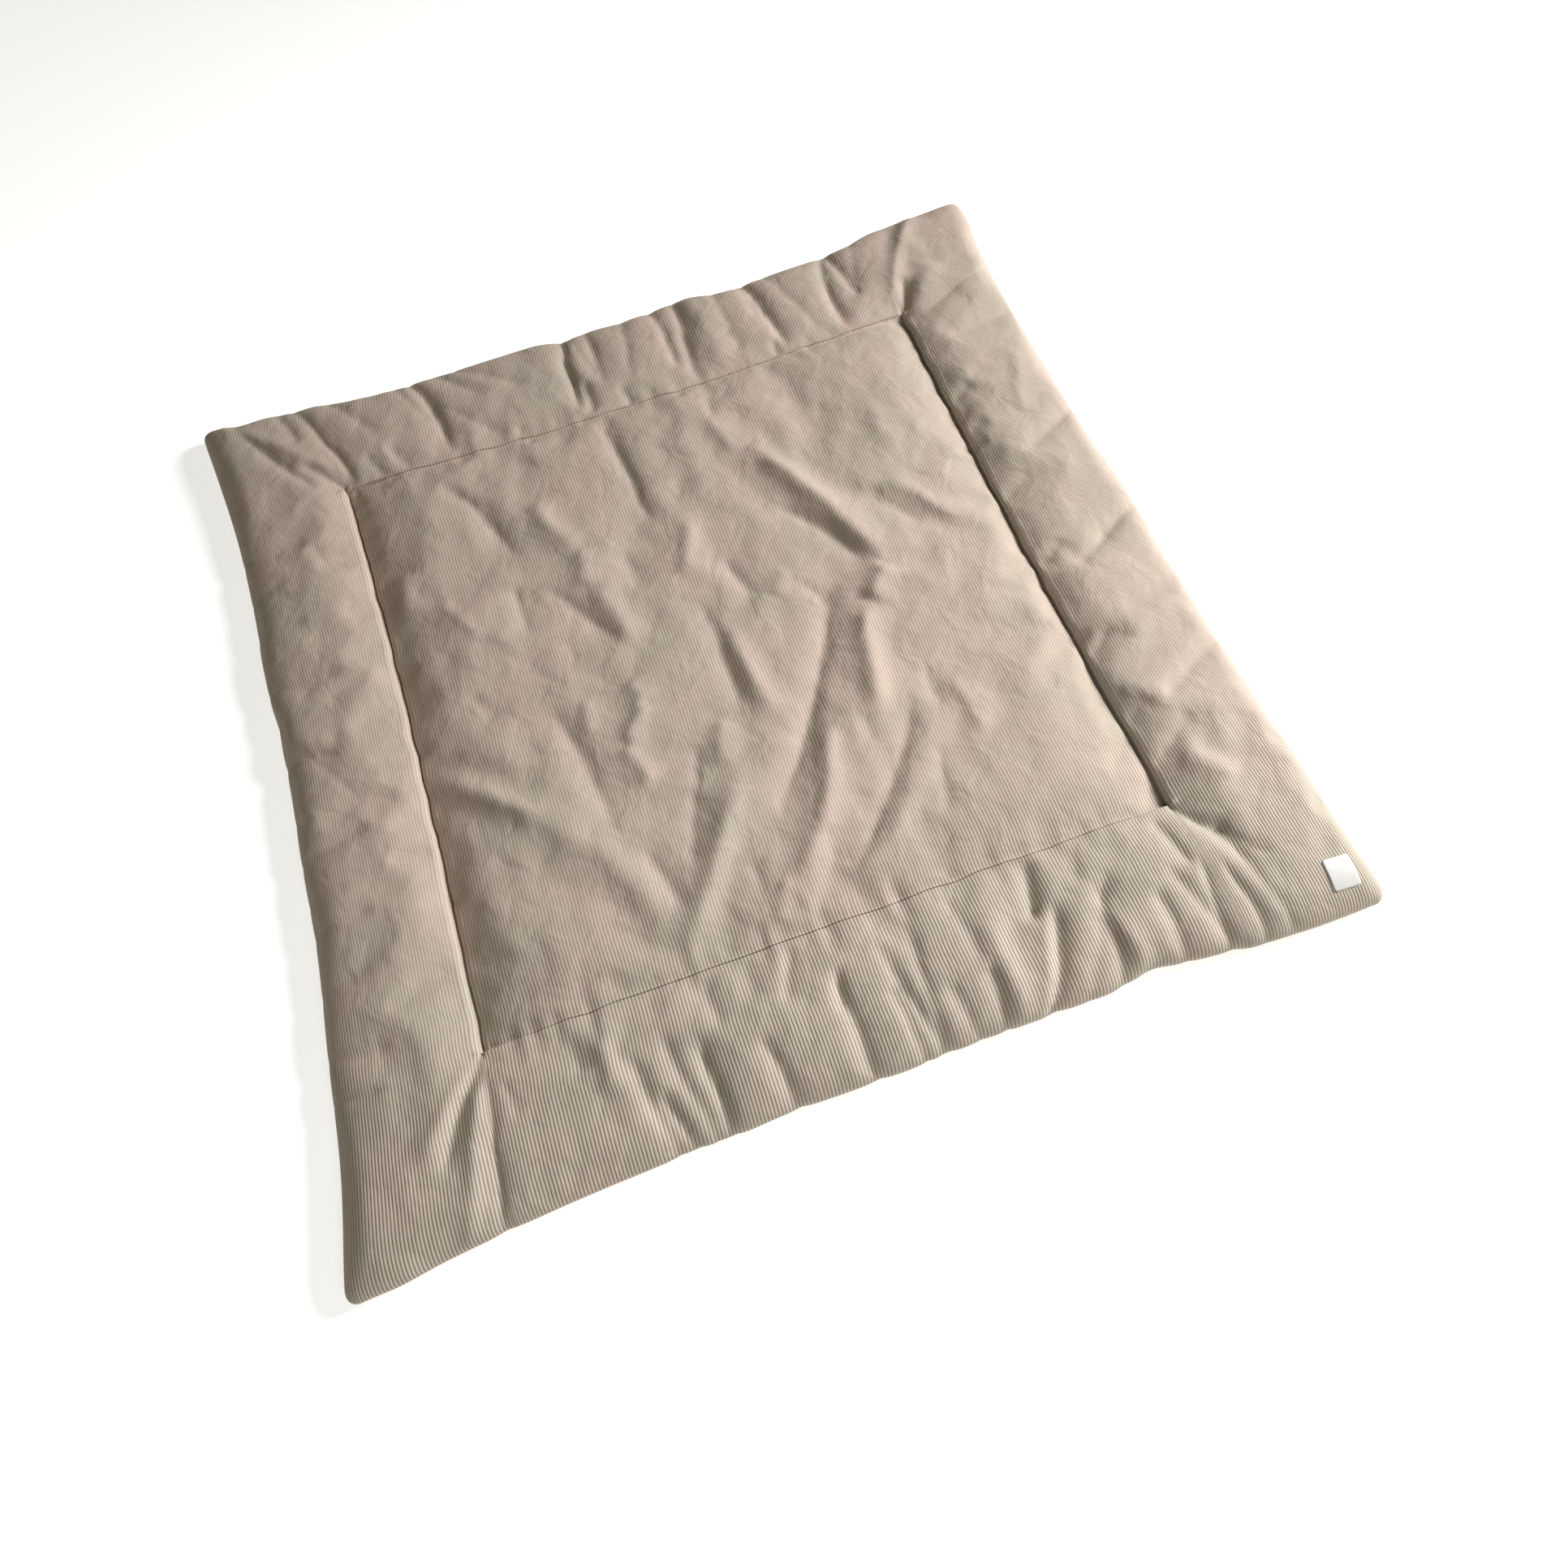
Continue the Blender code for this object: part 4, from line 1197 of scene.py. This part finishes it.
        nick = np.maximum(-all_folds, 0.0) * self.by_sides(flat_x, flat_y, "nick_share")
        nick = nick * (1.0 - fade(to_edge, self.edge_fade))
        x = x - np.sign(flat_x) * np.where(to_side < to_end, nick, 0.0)
        y = y - np.sign(flat_y) * np.where(to_side < to_end, 0.0, nick)
        pull_x = self.side_pinch * by_side * np.exp(-((out_x / self.pinch_reach) ** 2))
        pull_y = self.end_pinch * by_end * np.exp(-((out_y / self.pinch_reach) ** 2))
        x = x - np.sign(flat_x) * out_x * pull_x
        y = y - np.sign(flat_y) * out_y * pull_y
        return x, y, height

    def seam_shares(self, out_x: np.ndarray, out_y: np.ndarray) -> tuple[np.ndarray, np.ndarray]:
        """Where the side lines and the end lines of the stitched square run: 1 along them, 0 past their ends.

        Args:
            out_x: Distances outside the stitched lines, left and right.
            out_y: Distances outside the stitched lines, far and near.

        Returns:
            Shares of the side lines and of the end lines.
        """
        by_side = np.exp(-((np.maximum(out_y, 0.0) / self.pinch_reach) ** 2))
        by_end = np.exp(-((np.maximum(out_x, 0.0) / self.pinch_reach) ** 2))
        return by_side, by_end

    def seam_puckers(
        self, flat_x: np.ndarray, flat_y: np.ndarray, out_x: np.ndarray, out_y: np.ndarray
    ) -> np.ndarray:
        """Pinches along the four stitched lines.

        Args:
            flat_x: Places across the flat cloth.
            flat_y: Places along the flat cloth.
            out_x: Distances outside the stitched lines, left and right.
            out_y: Distances outside the stitched lines, far and near.

        Returns:
            Their height at each place.
        """
        by_side = (out_y <= 0.0) * self.puckers.heights(flat_y, np.abs(out_x), 0)
        by_side = np.where(flat_x > 0.0, (out_y <= 0.0) * self.puckers.heights(flat_y, np.abs(out_x), 1), by_side)
        by_end = (out_x <= 0.0) * self.puckers.heights(flat_x, np.abs(out_y), 2)
        by_end = np.where(flat_y > 0.0, (out_x <= 0.0) * self.puckers.heights(flat_x, np.abs(out_y), 3), by_end)
        return by_side + by_end

    def under_points(self, flat_x: np.ndarray, flat_y: np.ndarray) -> tuple[np.ndarray, np.ndarray, np.ndarray]:
        """Where the lower cloth lies: flat on the surface but for its edge, its channel and slight hollows.

        Args:
            flat_x: Places across the flat cloth.
            flat_y: Places along the flat cloth.

        Returns:
            Places across, along and up, in metres, before the mat is centred.
        """
        plan = self.plan
        x, y = plan.lay_out(*plan.round_corner(flat_x, flat_y))
        to_edge = plan.half - np.maximum(np.abs(flat_x), np.abs(flat_y))
        ring = np.abs(np.maximum(np.abs(flat_x), np.abs(flat_y)) - plan.seam_half)
        edge = self.edge_height * (1.0 - np.clip(to_edge / self.under_roll, 0.0, 1.0)) ** 1.8
        channel = self.under_channel_depth * np.exp(-((ring / self.under_channel_half * 1.6) ** 1.4))
        hollow = np.maximum(Unevenness(21, 0.045, 0.075)(x, y), 0.0) * self.under_hollow
        return x, y, edge + channel + hollow * fade(to_edge, 0.03)

    def sewn_share(self, flat_x: np.ndarray, flat_y: np.ndarray) -> np.ndarray:
        """How firmly the upper cloth is held: 1 on the sewn lines, 0 over the filling.

        Args:
            flat_x: Places across the flat cloth.
            flat_y: Places along the flat cloth.

        Returns:
            Shares from 0 to 1.
        """
        to_edge = self.plan.half - np.maximum(np.abs(flat_x), np.abs(flat_y))
        from_seam = np.abs(np.maximum(np.abs(flat_x), np.abs(flat_y)) - self.plan.seam_half)
        return ((to_edge < self.finest_step / 2.0) | (from_seam < self.finest_step / 2.0)).astype(float)

    def even_lines(self) -> np.ndarray:
        """Places of the even lines on which the cloth settles, the stitched lines among them."""
        plan = self.plan
        in_border = round((plan.half - plan.seam_half) / self.settling_step)
        in_panel = round(2.0 * plan.seam_half / self.settling_step)
        border = np.linspace(plan.seam_half, plan.half, in_border + 1)
        panel = np.linspace(-plan.seam_half, plan.seam_half, in_panel + 1)
        return np.concatenate((-border[::-1], panel[1:-1], border))

    def settled_shift(self, lines: np.ndarray) -> np.ndarray:
        """Settle the upper cloth on even lines, and read its movement on the mesh's own lines.

        Args:
            lines: Places of the mesh's lines.

        Returns:
            How far each point moves, in rows, columns and three directions.
        """
        even = self.even_lines()
        flat_x, flat_y = np.meshgrid(even, even)
        start = np.stack(self.top_points(flat_x, flat_y), axis=-1).reshape(-1, 3)
        sewn = self.sewn_share(flat_x, flat_y).ravel()
        at_side = (np.abs(flat_x) > np.abs(flat_y)) & (np.abs(flat_x) > self.plan.seam_half)
        at_far = (np.abs(flat_x) <= np.abs(flat_y)) & (flat_y > self.plan.seam_half)
        slack = np.where(at_side, self.border_slack, np.where(at_far, self.far_slack, 1.0)).ravel()
        moved = Settling().settle(start, sewn, slack, self.top_faces(len(even)))
        moved = moved.reshape(len(even), len(even), 3)
        reader = self.reading(even, lines)
        return np.stack([reader @ moved[..., axis] @ reader.T for axis in range(3)], axis=-1)

    def reading(self, even: np.ndarray, lines: np.ndarray) -> np.ndarray:
        """Weights that read values on the mesh's lines from the even lines, smooth between sewn lines.

        Args:
            even: Places of the even lines.
            lines: Places of the mesh's lines.

        Returns:
            One row of weights for each of the mesh's lines.
        """
        plan = self.plan
        weights = np.zeros((len(lines), len(even)))
        stops = [int(np.abs(even - place).argmin()) for place in (-plan.half, -plan.seam_half, plan.seam_half, plan.half)]
        for first, last in zip(stops[:-1], stops[1:]):
            inside = np.flatnonzero((lines >= even[first] - 1e-9) & (lines <= even[last] + 1e-9))
            place = np.clip((lines[inside] - even[first]) / (even[last] - even[first]), 0.0, 1.0) * (last - first)
            left = np.minimum(place.astype(int), last - first - 1)
            part = place - left
            shares = (
                (-1, ((2.0 - part) * part - 1.0) * part / 2.0),
                (0, ((3.0 * part - 5.0) * part * part + 2.0) / 2.0),
                (1, ((4.0 - 3.0 * part) * part + 1.0) * part / 2.0),
                (2, (part - 1.0) * part * part / 2.0),
            )
            weights[inside] = 0.0
            for offset, share in shares:
                column = first + np.clip(left + offset, 0, last - first)
                np.add.at(weights, (inside, column), share)
        return weights

    def profile_length(self, lines: np.ndarray) -> np.ndarray:
        """Length of cloth from the middle to each mesh line, over the filled cross-section.

        Args:
            lines: Places of the mesh's lines.

        Returns:
            Cloth lengths, with the lines' signs.
        """
        panel, border = self.rounding(lines, lines * 0.0)
        in_panel = np.abs(lines) <= self.plan.seam_half
        height = np.where(in_panel, self.panel_loft * panel, self.border_loft * border)
        length = np.concatenate(([0.0], np.cumsum(np.hypot(np.diff(lines), np.diff(height)))))
        return length - length[-1] / 2.0

    def build(self, material: bpy.types.Material) -> bpy.types.Object:
        """Make the closed cover.

        Args:
            material: The corduroy.

        Returns:
            The mat, standing where the model's mat stands.
        """
        lines = self.lines()
        count = len(lines)
        flat_x, flat_y = np.meshgrid(lines, lines)
        top = np.stack(self.top_points(flat_x, flat_y), axis=-1)
        top = top + self.settled_shift(lines)
        cloth = self.profile_length(lines)
        top_u, top_v = np.meshgrid(cloth, cloth)

        picks = self.under_lines(lines)
        under_x, under_y = np.meshgrid(lines[picks], lines[picks])
        under = np.stack(self.under_points(under_x, under_y), axis=-1)
        points = np.concatenate((top.reshape(-1, 3), under.reshape(-1, 3)))
        uv = np.concatenate((
            np.stack((top_u, top_v), axis=-1).reshape(-1, 2),
            np.stack((under_x, under_y), axis=-1).reshape(-1, 2),
        ))

        faces = self.top_faces(count) + self.under_faces(count, picks)
        centre = (top.reshape(-1, 3)[:, :2].min(axis=0) + top.reshape(-1, 3)[:, :2].max(axis=0)) / 2.0
        low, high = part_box("mat")
        self.shift = np.array(((low.x + high.x) / 2.0, (low.y + high.y) / 2.0)) - centre
        points[:, :2] += self.shift
        corners = np.concatenate([np.array(face) for face in faces])
        return mesh_object("padded_mat", points, faces, uv[corners], material)

    def under_lines(self, lines: np.ndarray) -> list[int]:
        """Which of the mesh's lines the coarser lower cloth keeps.

        Args:
            lines: Places of the mesh's lines.

        Returns:
            Line numbers, without the two rim lines.
        """
        last = len(lines) - 1
        seams = [int(np.abs(lines - place).argmin()) for place in (-self.plan.seam_half, self.plan.seam_half)]
        picks = sorted(set(range(2, last - 1, self.under_step)) | set(seams) | {last - 2})
        return picks

    @staticmethod
    def top_faces(count: int) -> list[list[int]]:
        """Quads of the upper cloth.

        Args:
            count: Lines each way.

        Returns:
            Vertex numbers of each quad.
        """
        rows, columns = np.meshgrid(np.arange(count - 1), np.arange(count - 1), indexing="ij")
        first = (rows * count + columns).ravel()
        return np.stack((first, first + 1, first + count + 1, first + count), axis=-1).tolist()

    @staticmethod
    def under_faces(count: int, picks: list[int]) -> list[list[int]]:
        """Faces of the lower cloth, and the strip that joins its coarser lines to the rim.

        Args:
            count: Lines each way of the upper cloth.
            picks: Line numbers of the lower cloth.

        Returns:
            Vertex numbers of each face.
        """
        size = len(picks)
        base = count * count
        rows, columns = np.meshgrid(np.arange(size - 1), np.arange(size - 1), indexing="ij")
        first = (base + rows * size + columns).ravel()
        faces = np.stack((first, first + size, first + size + 1, first + 1), axis=-1).tolist()
        last = count - 1
        sides = (
            (lambda place: place, lambda index: base + index),
            (lambda place: place * count + last, lambda index: base + index * size + size - 1),
            (lambda place: last * count + last - place, lambda index: base + size * size - 1 - index),
            (lambda place: (last - place) * count, lambda index: base + (size - 1 - index) * size),
        )
        for number, (rim, inner) in enumerate(sides):
            stops = picks if number < 2 else [last - place for place in picks[::-1]]
            for index in range(size - 1):
                outer = [rim(place) for place in range(stops[index], stops[index + 1] + 1)]
                faces.append(outer[::-1] + [inner(index), inner(index + 1)])
            start = [rim(place) for place in range(0, stops[0] + 1)]
            before_rim, _ = sides[(number - 1) % 4]
            stops_before = picks if (number - 1) % 4 < 2 else [last - place for place in picks[::-1]]
            before = [before_rim(place) for place in range(stops_before[-1], last)]
            faces.append(start[::-1] + before[::-1] + [inner(0)])
        return faces

    def seam_path(self, above: bool) -> np.ndarray:
        """Points along the stitched square, in the mat's frame.

        Args:
            above: Whether to follow the upper cloth or the lower one.

        Returns:
            A closed run of points, one row each.
        """
        half = self.plan.seam_half
        run = np.linspace(-half, half, 260)[:-1]
        edge = np.full(run.shape, half)
        flat_x = np.concatenate((run, edge, -run, -edge))
        flat_y = np.concatenate((-edge, run, edge, -run))
        reader = self.top_points if above else self.under_points
        points = np.stack(reader(flat_x, flat_y), axis=-1)
        points[:, :2] += self.shift
        return points


@dataclass(frozen=True)
class Stitching:
    """A run of lockstitches, made by Geometry Nodes along a sewn line."""

    name: str
    stitch_length: float = 0.0030
    gap: float = 0.0009
    thread_radius: float = 0.00032
    arch: float = 0.0005
    seed: int = 7

    def tree(self, material: bpy.types.Material) -> bpy.types.NodeTree:
        """Make the node tree: one arched thread, set at even steps along the line.

        Args:
            material: The thread.

        Returns:
            The tree, with its sizes as named inputs.
        """
        tree = bpy.data.node_groups.new(f"{self.name}_run", "GeometryNodeTree")
        tree.interface.new_socket("Geometry", in_out="INPUT", socket_type="NodeSocketGeometry")
        sizes = {"Stitch Length": self.stitch_length, "Gap": self.gap, "Thread Radius": self.thread_radius,
                 "Arch": self.arch}
        for name in sizes:
            tree.interface.new_socket(name, in_out="INPUT", socket_type="NodeSocketFloat")
        tree.interface.new_socket("Seed", in_out="INPUT", socket_type="NodeSocketInt")
        tree.interface.new_socket("Geometry", in_out="OUTPUT", socket_type="NodeSocketGeometry")
        given = add_node(tree, "NodeGroupInput").outputs
        spacing = add_node(tree, "ShaderNodeMath", {0: given["Stitch Length"], 1: given["Gap"]}, operation="ADD")
        line = add_node(tree, "GeometryNodeMeshToCurve", {"Mesh": given["Geometry"]})
        dots = add_node(tree, "GeometryNodeCurveToPoints", {
            "Curve": line.outputs[0], "Length": spacing.outputs[0]}, mode="LENGTH")
        half = add_node(tree, "ShaderNodeMath", {0: given["Stitch Length"], 1: 0.5}, operation="MULTIPLY")
        back = add_node(tree, "ShaderNodeMath", {0: half.outputs[0], 1: -1.0}, operation="MULTIPLY")
        sunk = add_node(tree, "ShaderNodeMath", {0: given["Thread Radius"], 1: -1.2}, operation="MULTIPLY")
        start = add_node(tree, "ShaderNodeCombineXYZ", {"X": back.outputs[0], "Z": sunk.outputs[0]})
        middle = add_node(tree, "ShaderNodeCombineXYZ", {"Z": given["Arch"]})
        end = add_node(tree, "ShaderNodeCombineXYZ", {"X": half.outputs[0], "Z": sunk.outputs[0]})
        thread = add_node(tree, "GeometryNodeCurveQuadraticBezier", {
            "Resolution": 4, "Start": start.outputs[0], "Middle": middle.outputs[0], "End": end.outputs[0]})
        ring = add_node(tree, "GeometryNodeCurvePrimitiveCircle", {"Resolution": 6, "Radius": given["Thread Radius"]})
        stitch = add_node(tree, "GeometryNodeCurveToMesh", {
            "Curve": thread.outputs[0], "Profile Curve": ring.outputs[0], "Fill Caps": True})
        upright = add_node(tree, "FunctionNodeAxesToRotation", {
            "Primary Axis": dots.outputs["Tangent"], "Secondary Axis": (0.0, 0.0, 1.0)},
            primary_axis="X", secondary_axis="Z")
        lean = add_node(tree, "FunctionNodeRandomValue", {
            0: (0.0, 0.0, -0.07), 1: (0.0, 0.0, 0.07), "Seed": given["Seed"]}, data_type="FLOAT_VECTOR")
        turned = add_node(tree, "FunctionNodeRotateRotation", {
            "Rotation": upright.outputs[0], "Rotate By": lean.outputs[0]}, rotation_space="LOCAL")
        placed = add_node(tree, "GeometryNodeInstanceOnPoints", {
            "Points": dots.outputs["Points"], "Instance": stitch.outputs[0], "Rotation": turned.outputs[0]})
        real = add_node(tree, "GeometryNodeRealizeInstances", {0: placed.outputs[0]})
        smooth = add_node(tree, "GeometryNodeSetShadeSmooth", {"Geometry": real.outputs[0]})
        finish = add_node(tree, "GeometryNodeSetMaterial", {"Geometry": smooth.outputs[0], "Material": material})
        add_node(tree, "NodeGroupOutput", {0: finish.outputs[0]})
        return tree

    def build(self, path: np.ndarray, material: bpy.types.Material) -> bpy.types.Object:
        """Sew along a closed path.

        Args:
            path: Points of the line, one row each.
            material: The thread.

        Returns:
            All the stitches as one plain mesh.
        """
        data = bpy.data.meshes.new(f"{self.name}_line")
        count = len(path)
        data.from_pydata(path.tolist(), [(index, (index + 1) % count) for index in range(count)], [])
        guide = bpy.data.objects.new(f"{self.name}_line", data)
        bpy.context.scene.collection.objects.link(guide)
        tree = self.tree(material)
        modifier = guide.modifiers.new("stitches", "NODES")
        modifier.node_group = tree
        values = {"Stitch Length": self.stitch_length, "Gap": self.gap, "Thread Radius": self.thread_radius,
                  "Arch": self.arch, "Seed": self.seed}
        for socket in tree.interface.items_tree:
            if socket.in_out == "INPUT" and socket.name in values:
                modifier[socket.identifier] = values[socket.name]
        depsgraph = bpy.context.evaluated_depsgraph_get()
        made = bpy.data.meshes.new_from_object(guide.evaluated_get(depsgraph), depsgraph=depsgraph)
        made.name = self.name
        guide.modifiers.remove(modifier)
        bpy.data.objects.remove(guide)
        item = bpy.data.objects.new(self.name, made)
        bpy.context.scene.collection.objects.link(item)
        return item


@dataclass(frozen=True)
class CornerLabel:
    """The small bare label with rounded corners, sewn flat on the near right corner."""

    width: float = 0.028
    length: float = 0.031
    thickness: float = 0.0009
    corner_radius: float = 0.0035
    turn_degrees: float = -3.5
    gap: float = 0.0005
    columns: int = 28
    rows: int = 32
    rim: float = 0.0009
    rim_share: float = 0.35

    def build(self, mat: bpy.types.Object, material: bpy.types.Material) -> bpy.types.Object:
        """Lay the label on the mat.

        Args:
            mat: The finished mat.
            material: The tape.

        Returns:
            The label, a closed thin piece.
        """
        surface = BVHTree.FromObject(mat, bpy.context.evaluated_depsgraph_get())
        low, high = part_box("corner_label")
        centre = (low + high) / 2.0
        turn = np.radians(self.turn_degrees)
        across, along = np.meshgrid(np.linspace(-1.0, 1.0, self.columns + 1), np.linspace(-1.0, 1.0, self.rows + 1))
        half = np.array((self.width, self.length)) / 2.0
        inner = half - self.corner_radius
        local = np.stack((across * half[0], along * half[1]), axis=-1)
        beyond = np.maximum(np.abs(local) - inner, 0.0)
        parts = beyond / self.corner_radius
        beyond = beyond * np.sqrt(1.0 - parts[..., ::-1] ** 2 / 2.0)
        local = np.sign(local) * (np.minimum(np.abs(local), inner) + beyond)
        x = centre.x + local[..., 0] * np.cos(turn) - local[..., 1] * np.sin(turn)
        y = centre.y + local[..., 0] * np.sin(turn) + local[..., 1] * np.cos(turn)
        ground = np.array([
            surface.ray_cast(Vector((px, py, 1.0)), Vector((0.0, 0.0, -1.0)))[0].z
            for px, py in zip(x.ravel(), y.ravel())
        ]).reshape(x.shape)
        to_rim = np.minimum((1.0 - np.abs(across)) * half[0], (1.0 - np.abs(along)) * half[1])
        thick = self.thickness * (self.rim_share + (1.0 - self.rim_share) * fade(to_rim, self.rim))
        upper = np.stack((x, y, ground + self.gap + thick), axis=-1).reshape(-1, 3)
        lower = np.stack((x, y, ground + self.gap), axis=-1).reshape(-1, 3)
        points = np.concatenate((upper, lower))
        wide = self.columns + 1
        faces = []
        for row in range(self.rows):
            for column in range(self.columns):
                first = row * wide + column
                quad = [first, first + 1, first + wide + 1, first + wide]
                faces.append(quad)
                faces.append([corner + len(upper) for corner in quad[::-1]])
        loop = [column for column in range(wide)]
        loop += [row * wide + wide - 1 for row in range(1, self.rows + 1)]
        loop += [self.rows * wide + column for column in range(wide - 2, -1, -1)]
        loop += [row * wide for row in range(self.rows - 1, 0, -1)]
        for index, here in enumerate(loop):
            after = loop[(index + 1) % len(loop)]
            faces.append([here, here + len(upper), after + len(upper), after])
        flat = np.concatenate((local.reshape(-1, 2), local.reshape(-1, 2)))
        corners = np.concatenate([np.array(face) for face in faces])
        return mesh_object("woven_label", points, faces, flat[corners], material)


@dataclass(frozen=True)
class Studio:
    """A plain pale floor, one broad soft light low on the right, and an even fill from above."""

    floor_half: float = 6.0
    floor_colour: str = "fbfbfa"
    floor_glow: float = 0.58
    key_azimuth_degrees: float = 3.0
    key_elevation_degrees: float = 26.0
    key_distance: float = 3.2
    key_size: float = 1.0
    key_power: float = 36.2
    key_spread_degrees: float = 74.0
    aim: tuple[float, float] = (0.05, -0.30)
    key_colour: str = "fafaff"
    near_azimuth_degrees: float = 266.0
    near_elevation_degrees: float = 40.0
    near_distance: float = 1.8
    near_size: float = 1.0
    near_power: float = 7.0
    fill_colour: str = "fbf6dd"
    fill_strength: float = 0.17

    def light(
        self, name: str, azimuth: float, elevation: float, distance: float, size: float, power: float, spread: float
    ) -> None:
        """Make one square soft light that faces the aim.

        Args:
            name: The light's name.
            azimuth: Its direction, in degrees anticlockwise from the right.
            elevation: Its height, in degrees above the floor.
            distance: How far it is from the mat's middle.
            size: The length of its sides.
            power: Its power, in watts.
            spread: How wide its beam is, in degrees, as a grid on a softbox narrows it.
        """
        turn, rise = np.radians(azimuth), np.radians(elevation)
        towards = Vector((np.cos(turn) * np.cos(rise), np.sin(turn) * np.cos(rise), np.sin(rise)))
        data = bpy.data.lights.new(name, "AREA")
        data.shape = "SQUARE"
        data.size = size
        data.energy = power
        data.spread = np.radians(spread)
        data.color = srgb(self.key_colour)[:3]
        item = bpy.data.objects.new(name, data)
        facing = towards * distance - Vector((*self.aim, 0.0))
        turned = facing.to_track_quat("Z", "Y").to_matrix().to_4x4()
        item.matrix_world = Matrix.Translation(towards * distance) @ turned
        bpy.context.scene.collection.objects.link(item)

    def build(self) -> None:
        """Make the floor, the two lights and the fill."""
        data = bpy.data.meshes.new("floor")
        half = self.floor_half
        corners = [(-half, -half, 0.0), (half, -half, 0.0), (half, half, 0.0), (-half, half, 0.0)]
        data.from_pydata(corners, [], [(0, 1, 2, 3)])
        paint = plain_material("matt_white_floor_paint", self.floor_colour, 0.9)
        shader = paint.node_tree.nodes["Principled BSDF"]
        shader.inputs["Emission Color"].default_value = srgb(self.floor_colour)
        shader.inputs["Emission Strength"].default_value = self.floor_glow
        data.materials.append(paint)
        floor = bpy.data.objects.new("floor", data)
        bpy.context.scene.collection.objects.link(floor)

        self.light("window_light", self.key_azimuth_degrees, self.key_elevation_degrees, self.key_distance,
                   self.key_size, self.key_power, self.key_spread_degrees)
        self.light("near_light", self.near_azimuth_degrees, self.near_elevation_degrees, self.near_distance,
                   self.near_size, self.near_power, 180.0)

        world = bpy.data.worlds.new("white_room")
        world.use_nodes = True
        background = world.node_tree.nodes["Background"]
        background.inputs["Color"].default_value = srgb(self.fill_colour)
        background.inputs["Strength"].default_value = self.fill_strength
        bpy.context.scene.world = world
        bpy.context.scene.view_settings.view_transform = "Standard"


def main() -> None:
    """Build the mat's looks in order, and report each piece."""
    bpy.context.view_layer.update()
    FloorCamera().build()
    corduroy = Corduroy().build()
    thread = SewingThread().build()
    tape = WovenTape().build()

    maker = PaddedMat()
    mat = maker.build(corduroy)
    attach(mat, "root")
    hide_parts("mat")
    log.info("padded mat: %d faces", len(mat.data.polygons))

    for name, above in (("upper_stitching", True), ("lower_stitching", False)):
        path = maker.seam_path(above)
        path[:, 2] += 0.0002 if above else -0.0002
        sewing = Stitching(name).build(path, thread)
        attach(sewing, "root")
        log.info("%s: %d faces", name, len(sewing.data.polygons))

    label = CornerLabel().build(mat, tape)
    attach(label, "root")
    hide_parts("corner_label")
    log.info("corner label: %d faces", len(label.data.polygons))

    Studio().build()


if __name__ == "__main__":
    main()
